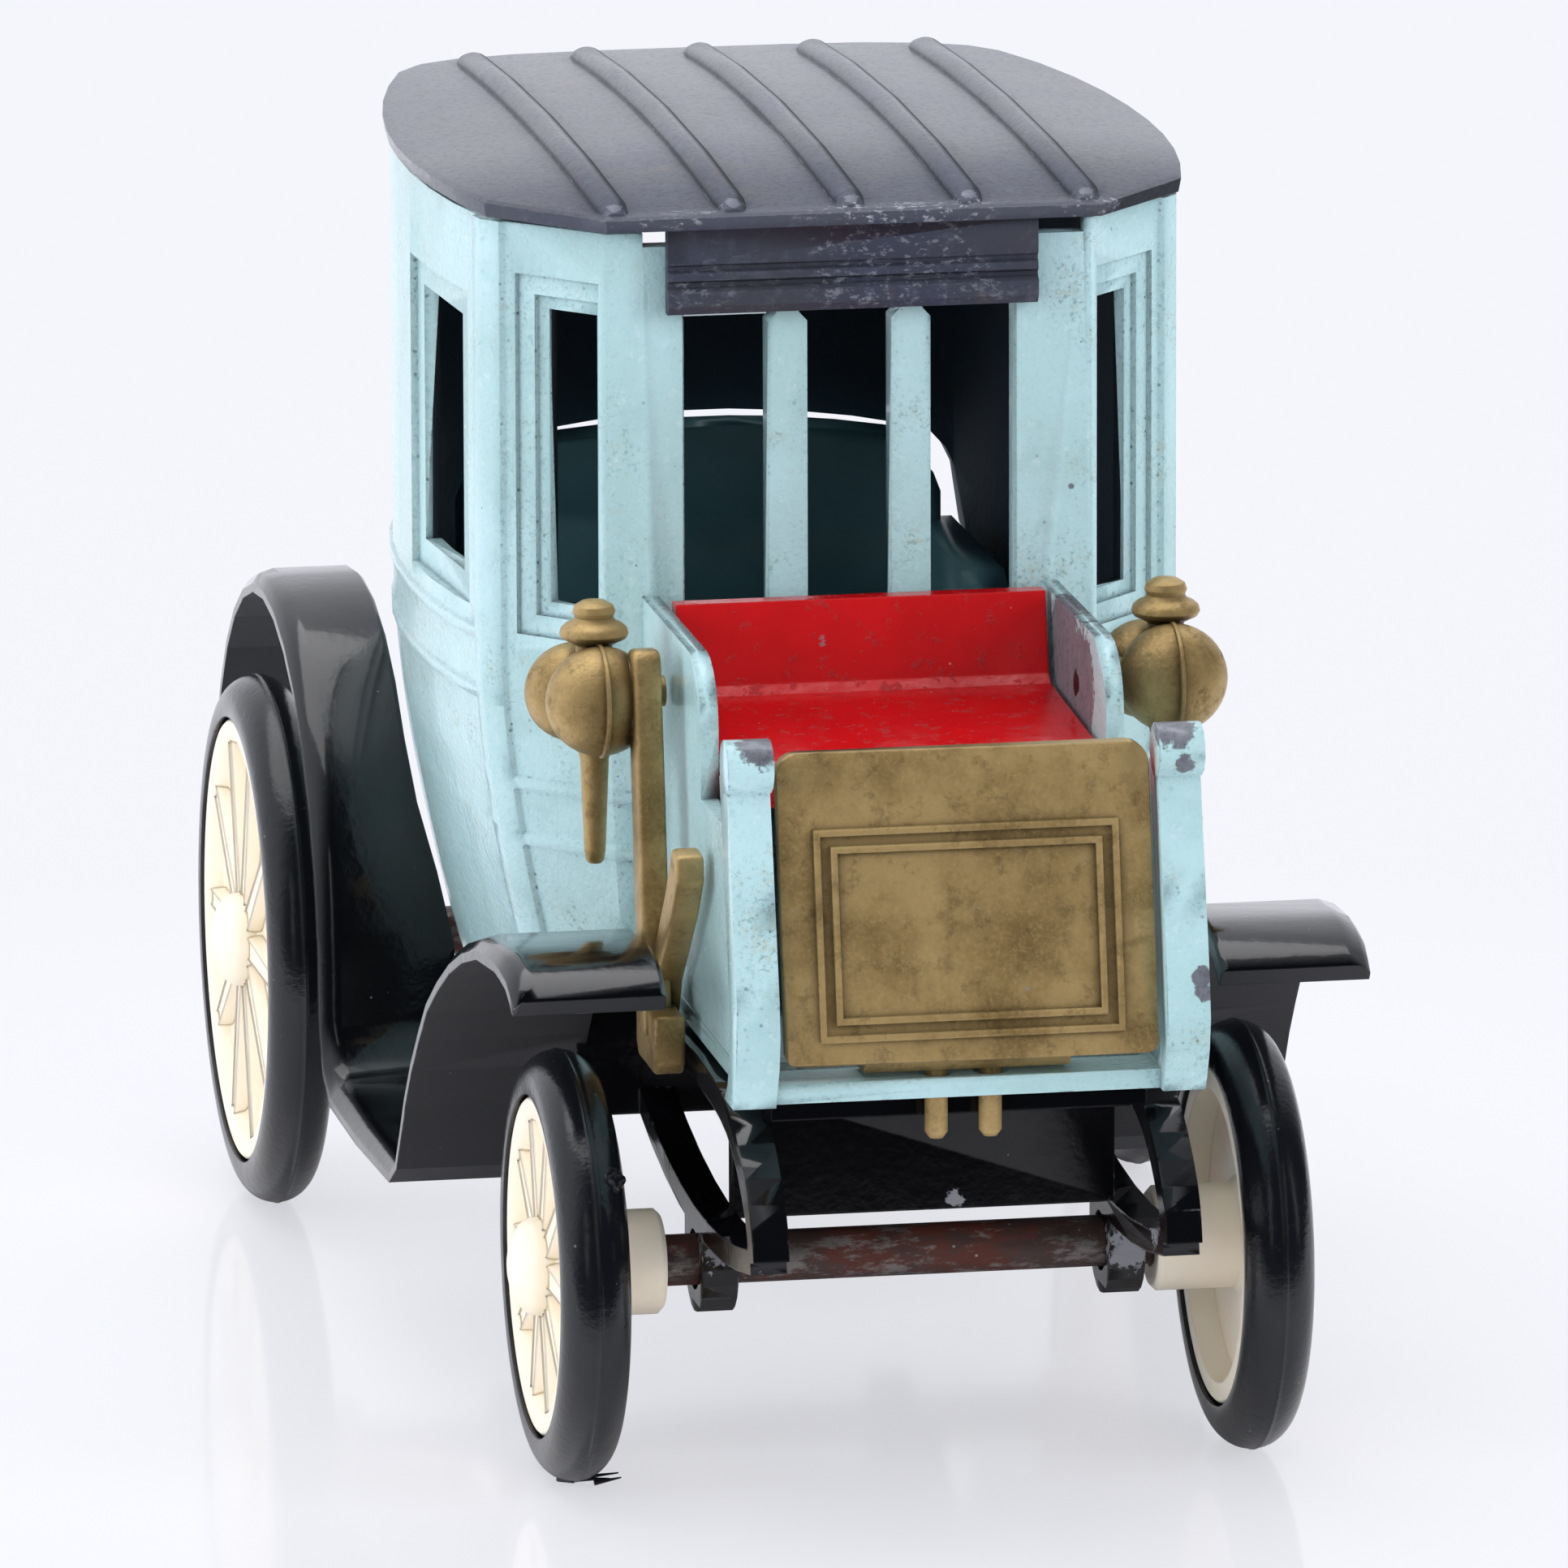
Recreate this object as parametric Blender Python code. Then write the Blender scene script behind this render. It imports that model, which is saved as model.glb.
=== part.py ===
"""A small diecast toy of a veteran motor coupe: a glazed cab behind an open driver's bench.

Metres, +Z up, the front of the car towards -Y. The pieces are laid out from the front axle's line on the
ground, and the whole car is then moved so that its origin is the centre of its base. Right and left are the
car's own, so its right-hand side is towards -X.
"""

import math

import bmesh
import bpy
from mathutils import Matrix, Vector

MM = 1.0  # pieces are laid out in millimetres, where Booleans are safest, and scaled to metres at the end
TO_METRES = 0.001
MERGE = 0.0001 * MM

# Clearances
SEAT_GAP = 0.25 * MM  # between castings and inserts that touch on the real toy
BORE_CLEARANCE = 0.2 * MM  # round a turning axle, per side
PRESS_GAP = 0.12 * MM  # round an axle end in its wheel, and between a tyre and its rim

# Running gear
WHEELBASE = 47.9 * MM
AXLE_RADIUS = 1.0 * MM
FRONT_TYRE_RADIUS = 8.4 * MM
REAR_TYRE_RADIUS = 10.9 * MM
FRONT_HALF_TRACK = 13.35 * MM
REAR_HALF_TRACK = 18.05 * MM
FRONT_AXLE_FLOAT = -0.4 * MM  # the front axle sits pushed to one side in its hooks
TYRE_SECTION = 1.4 * MM  # half the tyre's width
TYRE_WALL = 1.85 * MM  # tyre seen outside the rim flange
RIM_FLANGE = 0.95 * MM
RIM_GROOVE = 0.45 * MM
RIM_HALF_WIDTH = 1.2 * MM
HUB_DOME_RADIUS = 1.9 * MM
HUB_DOME_HEIGHT = 1.05 * MM
HUB_BOSS_RADIUS = 2.05 * MM
HUB_BOSS_REACH = 3.7 * MM  # from the tyre's middle to the boss's inner end
WEB_RECESS = 0.75 * MM  # from the rim's face in to the web
WEB_THICKNESS = 0.6 * MM
SPOKE_COUNT = 10
SPOKE_WIDTH = 0.95 * MM
SPOKE_RISE = 0.5 * MM
FRONT_WHEEL_SEGMENTS = 24
REAR_WHEEL_SEGMENTS = 28
AXLE_SEGMENTS = 16

# Cab of the body casting
CAB_FRONT = 13.4 * MM
CAB_BACK = 48.6 * MM
CAB_BOTTOM = 13.4 * MM
CAB_WALL = 0.95 * MM
CAB_FRONT_HALF = 9.6 * MM
CHAMFER_HALF = 13.7 * MM
CHAMFER_BACK = 17.8 * MM
SIDE_WIDEST_HALF = 14.95 * MM
SIDE_WIDEST_Y = 28.5 * MM
SIDE_BACK_HALF = 12.2 * MM
SIDE_BACK_Y = 46.2 * MM
BACK_HALF = 9.6 * MM
TUMBLE_START = 29.0 * MM  # above this height the cab's sides are upright
TUMBLE_MIDDLE = 22 * MM
TUMBLE_IN = 2.6 * MM
PILLAR_HALF = 0.85 * MM
PILLAR_RISE = 0.22 * MM
MOULDING_RISE = 0.13 * MM
SIDE_MOULDINGS = (27.1 * MM, 29.5 * MM)
CHAMFER_MOULDINGS = (21.5 * MM, 23.8 * MM)
MOULDING_HALF = 0.3 * MM

# Windows
SILL = 31.2 * MM
FRONT_LIGHT_HALF = 6.65 * MM
POST_CENTRE = 2.45 * MM
POST_WIDTH = 1.55 * MM
POST_DEPTH = 1.2 * MM
POST_SHOULDER = 42.9 * MM
POST_NECK = 0.9 * MM
NOTCH_HALF = 8.2 * MM  # the right-hand end of the low front rail
NOTCH_LEFT_HALF = 9.3 * MM
NOTCH_BOTTOM = 45.7 * MM
DOOR_LIGHT_FRONT = 20.9 * MM
DOOR_LIGHT_BACK = 27.4 * MM
DOOR_LIGHT_TOP = 41.9 * MM
DOOR_FRAME = 1.1 * MM
CHAMFER_LIGHT = (0.85 * MM, 3.2 * MM)  # from the front corner, along the chamfer
CHAMFER_LIGHT_TOP = 42.9 * MM
CHAMFER_FRAMES = ((0.2 * MM, 0.55 * MM, 0.45 * MM), (0.4 * MM, 1.35 * MM, 0.22 * MM))
REAR_LIGHT_HALF = 10.6 * MM  # to its left-hand side
REAR_LIGHT_RIGHT = 9.7 * MM
REAR_LIGHT_SILL = 26.8 * MM
REAR_LIGHT_SPRING = 29.8 * MM
REAR_LIGHT_CROWN = 32.4 * MM
BACK_WINDOW_HALF = 4.6 * MM
BACK_WINDOW_SILL = 36.3 * MM
BACK_WINDOW_TOP = 41.8 * MM
BACK_WINDOW_ROUND = 1.4 * MM

# Chassis deck
DECK_BOTTOM = 15.9 * MM
DECK_THICKNESS = 0.85 * MM

# Driver's compartment of the body casting
WING_OUTER = 8.3 * MM
WING_WALL = 0.7 * MM
FLOOR_FRONT = -10.95 * MM
FLOOR_BOTTOM = DECK_BOTTOM + DECK_THICKNESS + SEAT_GAP
FLOOR_THICKNESS = 0.75 * MM
TREAD_RISE = 0.3 * MM  # the part of the floor under the driver's feet
CHEEK_TOP = 31.0 * MM
CHEEK_WIDTH = 1.55 * MM
CHEEK_DEPTH = 1.6 * MM
CHEEK_DROP = 0.06 * MM  # how far the cheeks stand below the floor
SCROLL_RADIUS = 1.05 * MM
ENTRY_SILL = 26.5 * MM
ARM_TOP = 31.8 * MM
ARM_FRONT = 0.3 * MM
ARM_ROUND = 2.6 * MM

# Inserts
DASH_TOP = 30.3 * MM
DASH_TOP_Y = -9.75 * MM
DASH_LOW = 18.65 * MM
DASH_LOW_Y = -12.0 * MM
DASH_HALF = 7.2 * MM
DASH_THICKNESS = 0.7 * MM
DASH_FOOT_HALF = 4.0 * MM
DASH_FOOT_REACH = 1.2 * MM  # behind the pegs' centres
DASH_FRAME_RISE = 0.22 * MM
DASH_FRAME_WIDTH = 0.5 * MM
PEG_RADIUS = 0.45 * MM
PEG_CENTRE = 1.05 * MM
PEG_Y = -9.9 * MM
PEG_BOTTOM = 15.2 * MM
BENCH_BACK_TOP = 31.9 * MM
BENCH_LEVEL = 28.4 * MM
BENCH_FRONT = -0.4 * MM
BENCH_DROP = 0.6 * MM
BENCH_SHEET = 0.8 * MM
BENCH_LEG_HALF = 5.2 * MM
SOFA_BACK_Y = 46.4 * MM
SOFA_BACK_HALF = 9.5 * MM  # to its left-hand side
SOFA_BACK_RIGHT = 10.3 * MM
SOFA_BACK_THICKNESS = 2.2 * MM
SOFA_CROWN = 32.15 * MM
SOFA_SHOULDER = 29.3 * MM
SOFA_CUSHION = 23.5 * MM
SOFA_ARM_TOP = 28.1 * MM
SOFA_FRONT = 30.5 * MM

# Roof
ROOF_UNDERSIDE = 46.5 * MM
ROOF_EDGE = 0.5 * MM
ROOF_CROWN = 0.9 * MM
ROOF_FRONT = 12.2 * MM
ROOF_BACK = 49.95 * MM
ROOF_FRONT_HALF = 9.85 * MM
ROOF_CHAMFER_HALF = 13.9 * MM
ROOF_CHAMFER_BACK = 16.8 * MM
ROOF_WIDEST_HALF = 15.25 * MM
ROOF_WIDEST_Y = 29.0 * MM
ROOF_BACK_HALF = 12.5 * MM
ROOF_BACK_Y = 46.3 * MM
RIB_COUNT = 5
RIB_PITCH = 4.68 * MM
RIB_RADIUS = 0.62 * MM
RIB_FRONT = 12.7 * MM
RIB_BACK = 48.0 * MM
VALANCE_HALF = 7.35 * MM
VALANCE_BOTTOM = 43.1 * MM
VALANCE_THICKNESS = 0.6 * MM

# Chassis casting
DECK_HALF = 7.3 * MM
DECK_FRONT = -9.1 * MM
PAN_THICKNESS = 0.9 * MM
PAN_HALF = 10.4 * MM
APRON_Y = -1.9 * MM
APRON_THICKNESS = 0.9 * MM
APRON_BOTTOM = 10.4 * MM
STEP_THICKNESS = 1.0 * MM
STEP_BOTTOM = 11.35 * MM
OUTRIGGER_Y = 23.5 * MM
OUTRIGGER_HALF = 1.7 * MM
SPRING_CENTRE = 8.0 * MM
SPRING_WIDTH = 1.4 * MM
SPRING_LEAF = 0.95 * MM
HORN_THICKNESS = 1.15 * MM
SPRING_FRONT = -12.4 * MM
SPRING_EYE = 11.2 * MM
HOOK_WALL = 0.85 * MM
GUARD_SHEET = 0.95 * MM
GUARD_EASE = 0.9 * MM  # how far the rounding of the outer edge reaches in
GUARD_FRONT_Y = -6.3 * MM
GUARD_LIP = 20.45 * MM  # top of the front lip's edge
GUARD_TOP_Y = -2.5 * MM
GUARD_TOP = 21.65 * MM
GUARD_BOARD = 8.6 * MM  # top of the flat between the two arches
GUARD_BOARD_FRONT = 17.9 * MM
GUARD_BOARD_BACK = 31.0 * MM
GUARD_FALL = (
    (0.17, 0.02),
    (0.31, 0.08),
    (0.43, 0.155),
    (0.545, 0.25),
    (0.65, 0.355),
    (0.73, 0.475),
    (0.805, 0.6),
    (0.87, 0.735),
    (0.915, 0.855),
    (0.955, 0.955),
)
GUARD_REAR_RADIUS = 14.85 * MM
GUARD_REAR_LIFT = 0.35 * MM  # the rear arch's centre over the rear axle
GUARD_REAR_START = 182.0  # degrees, where the arch leaves the flat
GUARD_REAR_END = 22.0
GUARD_FRONT_OUTER = 16.7 * MM
GUARD_FRONT_INNER = 10.8 * MM
GUARD_REAR_OUTER = 18.06 * MM
GUARD_REAR_INNER = 13.9 * MM

# Brass fittings
LAMP_X = 11.3 * MM
LAMP_Y = 7.0 * MM
LAMP_Z = 29.4 * MM
LAMP_BALL = 2.15 * MM
LAMP_BALL_SHIFT = 1.45 * MM
LAMP_BALL_OUT = 0.0 * MM
LAMP_REAR_BALL = 1.95 * MM
LAMP_REAR_SHIFT = 1.7 * MM
LAMP_REAR_ASIDE = 0.5 * MM
LAMP_REAR_DROP = 0.25 * MM
LAMP_CAP_RADIUS = 1.35 * MM
LAMP_CAP_BASE = 31.5 * MM
LAMP_CAP_HEIGHT = 1.65 * MM
LAMP_STEM_BOTTOM = 22.7 * MM
LAMP_ARM_RADIUS = 0.6 * MM
LEVER_X = 9.75 * MM
LEVER_THICKNESS = 1.1 * MM
LEVER_DEPTH = 1.7 * MM
LEVER_BASE = 15.6 * MM
LEVER_TOP = 31.8 * MM
LEVER_Y = 4.65 * MM
LEVER_RAKE = 2.2 * MM
LEVER_PEG = 0.45 * MM
SHORT_LEVER_X = 9.25 * MM
SHORT_LEVER_Y = -2.0 * MM
SHORT_LEVER_TOP = 25.1 * MM

# Rivets that hold the body to the chassis
RIVET_RADIUS = 1.0 * MM
RIVET_HEAD_RADIUS = 1.8 * MM
RIVET_HEAD = 0.5 * MM
RIVETS = (6.0 * MM, 40.0 * MM)
RIVET_CLEARANCE = 0.2 * MM


def clear_scene():
    for obj in list(bpy.data.objects):
        bpy.data.objects.remove(obj, do_unlink=True)


def paint(name, colour, roughness, metallic=0.0):
    """A plain Principled material with the part's colour."""
    material = bpy.data.materials.new(name)
    material.use_nodes = True
    shader = material.node_tree.nodes["Principled BSDF"]
    shader.inputs["Base Color"].default_value = (*colour, 1.0)
    shader.inputs["Roughness"].default_value = roughness
    shader.inputs["Metallic"].default_value = metallic
    material.diffuse_color = (*colour, 1.0)
    return material


def object_from(name, bm):
    """A finished bmesh as an object with its faces turned outwards."""
    bmesh.ops.remove_doubles(bm, verts=bm.verts, dist=MERGE)
    bmesh.ops.recalc_face_normals(bm, faces=bm.faces)
    mesh = bpy.data.meshes.new(name)
    bm.to_mesh(mesh)
    bm.free()
    obj = bpy.data.objects.new(name, mesh)
    bpy.context.scene.collection.objects.link(obj)
    return obj


def skin_between(bm, rings, closed=False):
    """Quads between rings of the same number of points; closed joins the last ring to the first."""
    loops = [[bm.verts.new(point) for point in ring] for ring in rings]
    pairs = list(zip(loops, loops[1:]))
    if closed:
        pairs.append((loops[-1], loops[0]))
    for low, high in pairs:
        for i in range(len(low)):
            j = (i + 1) % len(low)
            bm.faces.new((low[i], low[j], high[j], high[i]))
    return loops


def loft(name, rings, closed=False):
    """A solid through the rings: capped at both ends, or closed on itself."""
    bm = bmesh.new()
    loops = skin_between(bm, rings, closed)
    if not closed:
        bm.faces.new(loops[0])
        bm.faces.new(loops[-1])
    return object_from(name, bm)


def prism(name, outline, low, high, axis="x"):
    """An outline extruded along an axis. Outline points are (y, z), (x, z) or (x, y) for axis x, y or z."""
    place = {
        "x": lambda a, b, along: (along, a, b),
        "y": lambda a, b, along: (a, along, b),
        "z": lambda a, b, along: (a, b, along),
    }[axis]
    bm = bmesh.new()
    base = [bm.verts.new(place(a, b, low)) for a, b in outline]
    face = bm.faces.new(base)
    grown = bmesh.ops.extrude_face_region(bm, geom=[face])
    step = Vector(place(0.0, 0.0, high - low))
    moved = [item for item in grown["geom"] if isinstance(item, bmesh.types.BMVert)]
    bmesh.ops.translate(bm, verts=moved, vec=step)
    return object_from(name, bm)


def box(name, low, high):
    outline = [(low[0], low[1]), (high[0], low[1]), (high[0], high[1]), (low[0], high[1])]
    return prism(name, outline, low[2], high[2], "z")


def turned(name, profile, centre, segments, axis="x"):
    """A profile of (along, radius) points turned about an axis through the centre."""
    bm = bmesh.new()
    points = [bm.verts.new((along, 0.0, radius)) for along, radius in profile]
    edges = [bm.edges.new(pair) for pair in zip(points, points[1:])]
    bmesh.ops.spin(
        bm,
        geom=points + edges,
        cent=(0, 0, 0),
        axis=(1, 0, 0),
        angle=math.tau,
        steps=segments,
        use_merge=True,
    )
    bmesh.ops.remove_doubles(bm, verts=bm.verts, dist=MERGE)
    if axis == "z":
        bmesh.ops.rotate(bm, verts=bm.verts, cent=(0, 0, 0), matrix=Matrix.Rotation(-math.pi / 2, 3, "Y"))
    if axis == "y":
        bmesh.ops.rotate(bm, verts=bm.verts, cent=(0, 0, 0), matrix=Matrix.Rotation(math.pi / 2, 3, "Z"))
    bmesh.ops.translate(bm, verts=bm.verts, vec=centre)
    return object_from(name, bm)


def boolean(target, tool, operation):
    """Applies one Boolean and removes the tool."""
    modifier = target.modifiers.new(operation.lower(), "BOOLEAN")
    modifier.operation = operation
    modifier.solver = "EXACT"
    modifier.object = tool
    graph = bpy.context.evaluated_depsgraph_get()
    mesh = bpy.data.meshes.new_from_object(target.evaluated_get(graph))
    target.modifiers.clear()
    old = target.data
    target.data = mesh
    mesh.name = target.name
    bpy.data.meshes.remove(old)
    bpy.data.objects.remove(tool, do_unlink=True)
    return target


def cut(target, *tools):
    for tool in tools:
        boolean(target, tool, "DIFFERENCE")
    return target


def fuse(target, *tools):
    for tool in tools:
        boolean(target, tool, "UNION")
    return target


def arc(centre, radius, start, end, steps):
    """Points on an arc, angles in degrees from the first axis towards the second."""
    angles = [math.radians(start + (end - start) * i / steps) for i in range(steps + 1)]
    return [(centre[0] + radius * math.cos(a), centre[1] + radius * math.sin(a)) for a in angles]


def arc_through(first, middle, last, steps):
    """Points on the circle through three points, from the first to the last."""
    (ax, ay), (bx, by), (cx, cy) = first, middle, last
    d = 2 * (ax * (by - cy) + bx * (cy - ay) + cx * (ay - by))
    a2, b2, c2 = ax * ax + ay * ay, bx * bx + by * by, cx * cx + cy * cy
    x = (a2 * (by - cy) + b2 * (cy - ay) + c2 * (ay - by)) / d
    y = (a2 * (cx - bx) + b2 * (ax - cx) + c2 * (bx - ax)) / d
    start = math.atan2(ay - y, ax - x)
    sweep = math.atan2(cy - y, cx - x) - start
    sweep = (sweep + math.pi) % math.tau - math.pi
    radius = math.hypot(ax - x, ay - y)
    return [
        (x + radius * math.cos(start + sweep * i / steps), y + radius * math.sin(start + sweep * i / steps))
        for i in range(steps + 1)
    ]


def smooth_path(points, steps):
    """A Catmull-Rom curve through the points."""
    ends = [points[0]] + list(points) + [points[-1]]
    path = []
    for a, b, c, d in zip(ends, ends[1:], ends[2:], ends[3:]):
        for i in range(steps):
            t = i / steps
            path.append(
                tuple(
                    0.5 * (2 * q + (r - p) * t + (2 * p - 5 * q + 4 * r - s) * t * t + (3 * q - p - 3 * r + s) * t**3)
                    for p, q, r, s in zip(a, b, c, d)
                )
            )
    path.append(tuple(points[-1]))
    return path


def offset_path(path, distance):
    """The open path moved sideways, to the left of its direction."""
    moved = []
    for i, point in enumerate(path):
        before = path[max(i - 1, 0)]
        after = path[min(i + 1, len(path) - 1)]
        dx, dy = after[0] - before[0], after[1] - before[1]
        length = math.hypot(dx, dy)
        moved.append((point[0] - distance * dy / length, point[1] + distance * dx / length))
    return moved


def strap(path, thickness):
    """The closed outline of a strip of even thickness whose middle runs along the path."""
    return offset_path(path, thickness / 2) + offset_path(path, -thickness / 2)[::-1]


def mirrored(right):
    """A closed plan outline from the points of its right half, front to back."""
    front, back = right[0], right[-1]
    return [(0.0, front[1])] + right + [(0.0, back[1])] + [(-x, y) for x, y in reversed(right)]


def cab_half(inset, side_in, pillar):
    """The right half of the cab's plan: front corner, chamfer, corner pillar, curved side and back corner."""
    chamfer = Vector((CHAMFER_HALF - CAB_FRONT_HALF, CHAMFER_BACK - CAB_FRONT)).normalized()
    out = Vector((chamfer.y, -chamfer.x))
    corner = Vector((CHAMFER_HALF, CHAMFER_BACK))
    curve = arc_through(
        (CHAMFER_HALF, CHAMFER_BACK), (SIDE_WIDEST_HALF, SIDE_WIDEST_Y), (SIDE_BACK_HALF, SIDE_BACK_Y), 8
    )
    first = (Vector(curve[1]) - corner).normalized()
    side_out = Vector((first.y, -first.x))
    step = 0.12 * MM
    points = [
        (Vector((CAB_FRONT_HALF, CAB_FRONT)) + Vector((-0.35, 1.0)) * inset, 0.3),
        (corner - chamfer * (PILLAR_HALF + step) - out * inset, 1.0),
        (corner - chamfer * PILLAR_HALF - out * (inset - pillar), 1.0),
        (corner + (out + side_out).normalized() * (pillar - inset), 1.0),
        (corner + first * PILLAR_HALF - side_out * (inset - pillar), 1.0),
        (corner + first * (PILLAR_HALF + step) - side_out * inset, 1.0),
    ]
    for before, here, after in zip(curve, curve[1:], curve[2:] + [(BACK_HALF, CAB_BACK)]):
        along = (Vector(after) - Vector(before)).normalized()
        points.append((Vector(here) - Vector((along.y, -along.x)) * inset, 1.0))
    points.append((Vector((BACK_HALF + 1.6 * MM, CAB_BACK - 1.0 * MM)) + Vector((-0.7, -0.7)) * inset, 0.9))
    points.append((Vector((BACK_HALF, CAB_BACK)) + Vector((-0.4, -1.0)) * inset, 0.8))
    return [(p.x - side_in * weight, p.y) for p, weight in points]


def tumble(height):
    """How far the cab's sides lie inside their widest line at a height."""
    below = max(TUMBLE_START - height, 0.0) / (TUMBLE_START - CAB_BOTTOM)
    return TUMBLE_IN * below**1.7


def cab_ring(height, rise=0.0, pillar=0.0, wall=0.0):
    """The cab's outline at a height; rise lifts the mouldings of that height out of the wall."""
    points = cab_half(wall, tumble(height), pillar)
    if rise:
        lifted = cab_half(wall - rise, tumble(height), pillar)
        if height > max(CHAMFER_MOULDINGS) + MM:
            points = points[:5] + lifted[5:-2] + points[-2:]
        else:
            points = lifted[:2] + points[2:]
    return [(x, y, height) for x, y in mirrored(points)]


def cab_shell():
    """The cab's walls as one closed loft: up the outside through its mouldings and down the inside."""
    bands = []
    for centre in CHAMFER_MOULDINGS + SIDE_MOULDINGS:
        bands += [
            (centre - MOULDING_HALF, 0.0),
            (centre - MOULDING_HALF * 0.6, MOULDING_RISE),
            (centre + MOULDING_HALF * 0.6, MOULDING_RISE),
            (centre + MOULDING_HALF, 0.0),
        ]
    lower = TUMBLE_MIDDLE - CAB_BOTTOM
    plain = [(CAB_BOTTOM + lower * share, 0.0) for share in (0.0, 0.17, 0.41, 0.7, 1.0)]
    between = (max(CHAMFER_MOULDINGS) + min(SIDE_MOULDINGS)) / 2
    levels = sorted(bands + plain + [(between, 0.0), (ROOF_UNDERSIDE - SEAT_GAP, 0.0)])
    outside = [cab_ring(z, rise, PILLAR_RISE) for z, rise in levels]
    inside = [cab_ring(z, wall=CAB_WALL) for z in (levels[-1][0], TUMBLE_START, TUMBLE_MIDDLE, CAB_BOTTOM)]
    return loft("body_shell", outside + inside, closed=True)


def chamfer_block(along_low, along_high, z_low, z_high, depth, side):
    """A block square to the chamfer between the cab's front and side, reaching depth inwards."""
    start = Vector((CAB_FRONT_HALF, CAB_FRONT))
    along = (Vector((CHAMFER_HALF, CHAMFER_BACK)) - start).normalized()
    inwards = Vector((-along.y, along.x))
    corners = [
        start + along * stop + inwards * reach
        for stop, reach in ((along_low, -MM), (along_high, -MM), (along_high, depth), (along_low, depth))
    ]
    return prism("chamfer_light", [(side * c.x, c.y) for c in corners], z_low, z_high, "z")


def door_block(border, depth, side):
    """A block square to the cab's side round the door light, reaching depth inwards."""
    front, back = DOOR_LIGHT_FRONT - border, DOOR_LIGHT_BACK + border
    surface = 14.3 * MM, 14.95 * MM
    plan = [
        (side * (surface[0] - depth), front),
        (side * (surface[0] + MM), front),
        (side * (surface[1] + MM), back),
        (side * (surface[1] - depth), back),
    ]
    return prism("door_light", plan, SILL + 0.4 * MM - border, DOOR_LIGHT_TOP + border, "z")


def uneven(outline, share):
    """An outline whose right-hand half, below x = 0, is drawn in or out to a share of its width."""
    return [(x if x > 0 else x * share, z) for x, z in outline]


def light_cutters():
    """Every window of the cab, and the stepped frames round the side ones."""
    through = 3 * MM
    tools = [
        box(
            "front_light",
            (-FRONT_LIGHT_HALF, CAB_FRONT - through, SILL),
            (FRONT_LIGHT_HALF, CAB_FRONT + through, ROOF_UNDERSIDE + through),
        ),
        box(
            "notch",
            (-NOTCH_HALF, CAB_FRONT - through, NOTCH_BOTTOM),
            (NOTCH_LEFT_HALF, CAB_FRONT + through, ROOF_UNDERSIDE + through),
        ),
    ]
    shoulder = REAR_LIGHT_HALF - 1.6 * MM, REAR_LIGHT_CROWN - 1.0 * MM
    half_crown = [
        (REAR_LIGHT_HALF, REAR_LIGHT_SPRING),
        (REAR_LIGHT_HALF - 0.35 * MM, REAR_LIGHT_SPRING + 0.75 * MM),
        (REAR_LIGHT_HALF - 0.9 * MM, shoulder[1] - 0.25 * MM),
    ]
    top = arc_through(shoulder, (0.0, REAR_LIGHT_CROWN), (-shoulder[0], shoulder[1]), 7)
    crown = half_crown + top + [(-x, z) for x, z in reversed(half_crown)]
    low = [(-REAR_LIGHT_HALF - 0.4 * MM, REAR_LIGHT_SILL), (REAR_LIGHT_HALF + 0.4 * MM, REAR_LIGHT_SILL)]
    opening = uneven(low + crown, REAR_LIGHT_RIGHT / REAR_LIGHT_HALF)
    tools.append(prism("rear_light", opening, CAB_BACK - 2.4 * MM, CAB_BACK + through, "y"))
    half, sill = BACK_WINDOW_HALF - BACK_WINDOW_ROUND, BACK_WINDOW_SILL + BACK_WINDOW_ROUND
    top = BACK_WINDOW_TOP - BACK_WINDOW_ROUND
    window = []
    for centre, start in (((half, sill), -90), ((half, top), 0), ((-half, top), 90), ((-half, sill), 180)):
        window += arc(centre, BACK_WINDOW_ROUND, start, start + 90, 3)
    tools.append(prism("back_window", window, CAB_BACK - 2.4 * MM, CAB_BACK + through, "y"))
    for side in (-1, 1):
        tools.append(door_block(0.0, 2.2 * MM, side))
        tools.append(door_block(DOOR_FRAME, 0.3 * MM, side))
        low, high = CHAMFER_LIGHT
        tools.append(chamfer_block(low, high, SILL, CHAMFER_LIGHT_TOP, 1.6 * MM, side))
        for border_low, border, depth in CHAMFER_FRAMES:
            tools.append(
                chamfer_block(
                    low - border_low, high + border, SILL - border, CHAMFER_LIGHT_TOP + border, depth, side
                )
            )
    return tools


def wing_outline():
    """The side of the driver's compartment as (y, z): front cheek, entry dip and seat arm."""
    foot = FLOOR_BOTTOM + FLOOR_THICKNESS / 3
    front = [
        (FLOOR_FRONT + 0.3 * MM, foot),
        (DASH_LOW_Y + 0.4 * MM, DASH_LOW + 0.5 * MM),
        (DASH_TOP_Y + 0.15 * MM, CHEEK_TOP - SCROLL_RADIUS - 0.1 * MM),
        (DASH_TOP_Y + 1.3 * MM, CHEEK_TOP - SCROLL_RADIUS - 0.25 * MM),
    ]
    dip = [
        (DASH_TOP_Y + 2.4 * MM, ENTRY_SILL + 1.4 * MM),
        (DASH_TOP_Y + 3.4 * MM, ENTRY_SILL + 0.3 * MM),
        (DASH_TOP_Y + 4.6 * MM, ENTRY_SILL),
    ]
    arm = [(ARM_FRONT, ENTRY_SILL)] + arc((ARM_FRONT + ARM_ROUND, ARM_TOP - ARM_ROUND), ARM_ROUND, 180, 90, 5)
    back = [(CAB_FRONT + CAB_WALL / 2, ARM_TOP), (CAB_FRONT + CAB_WALL / 2, foot)]
    return front + dip + arm + back


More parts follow.
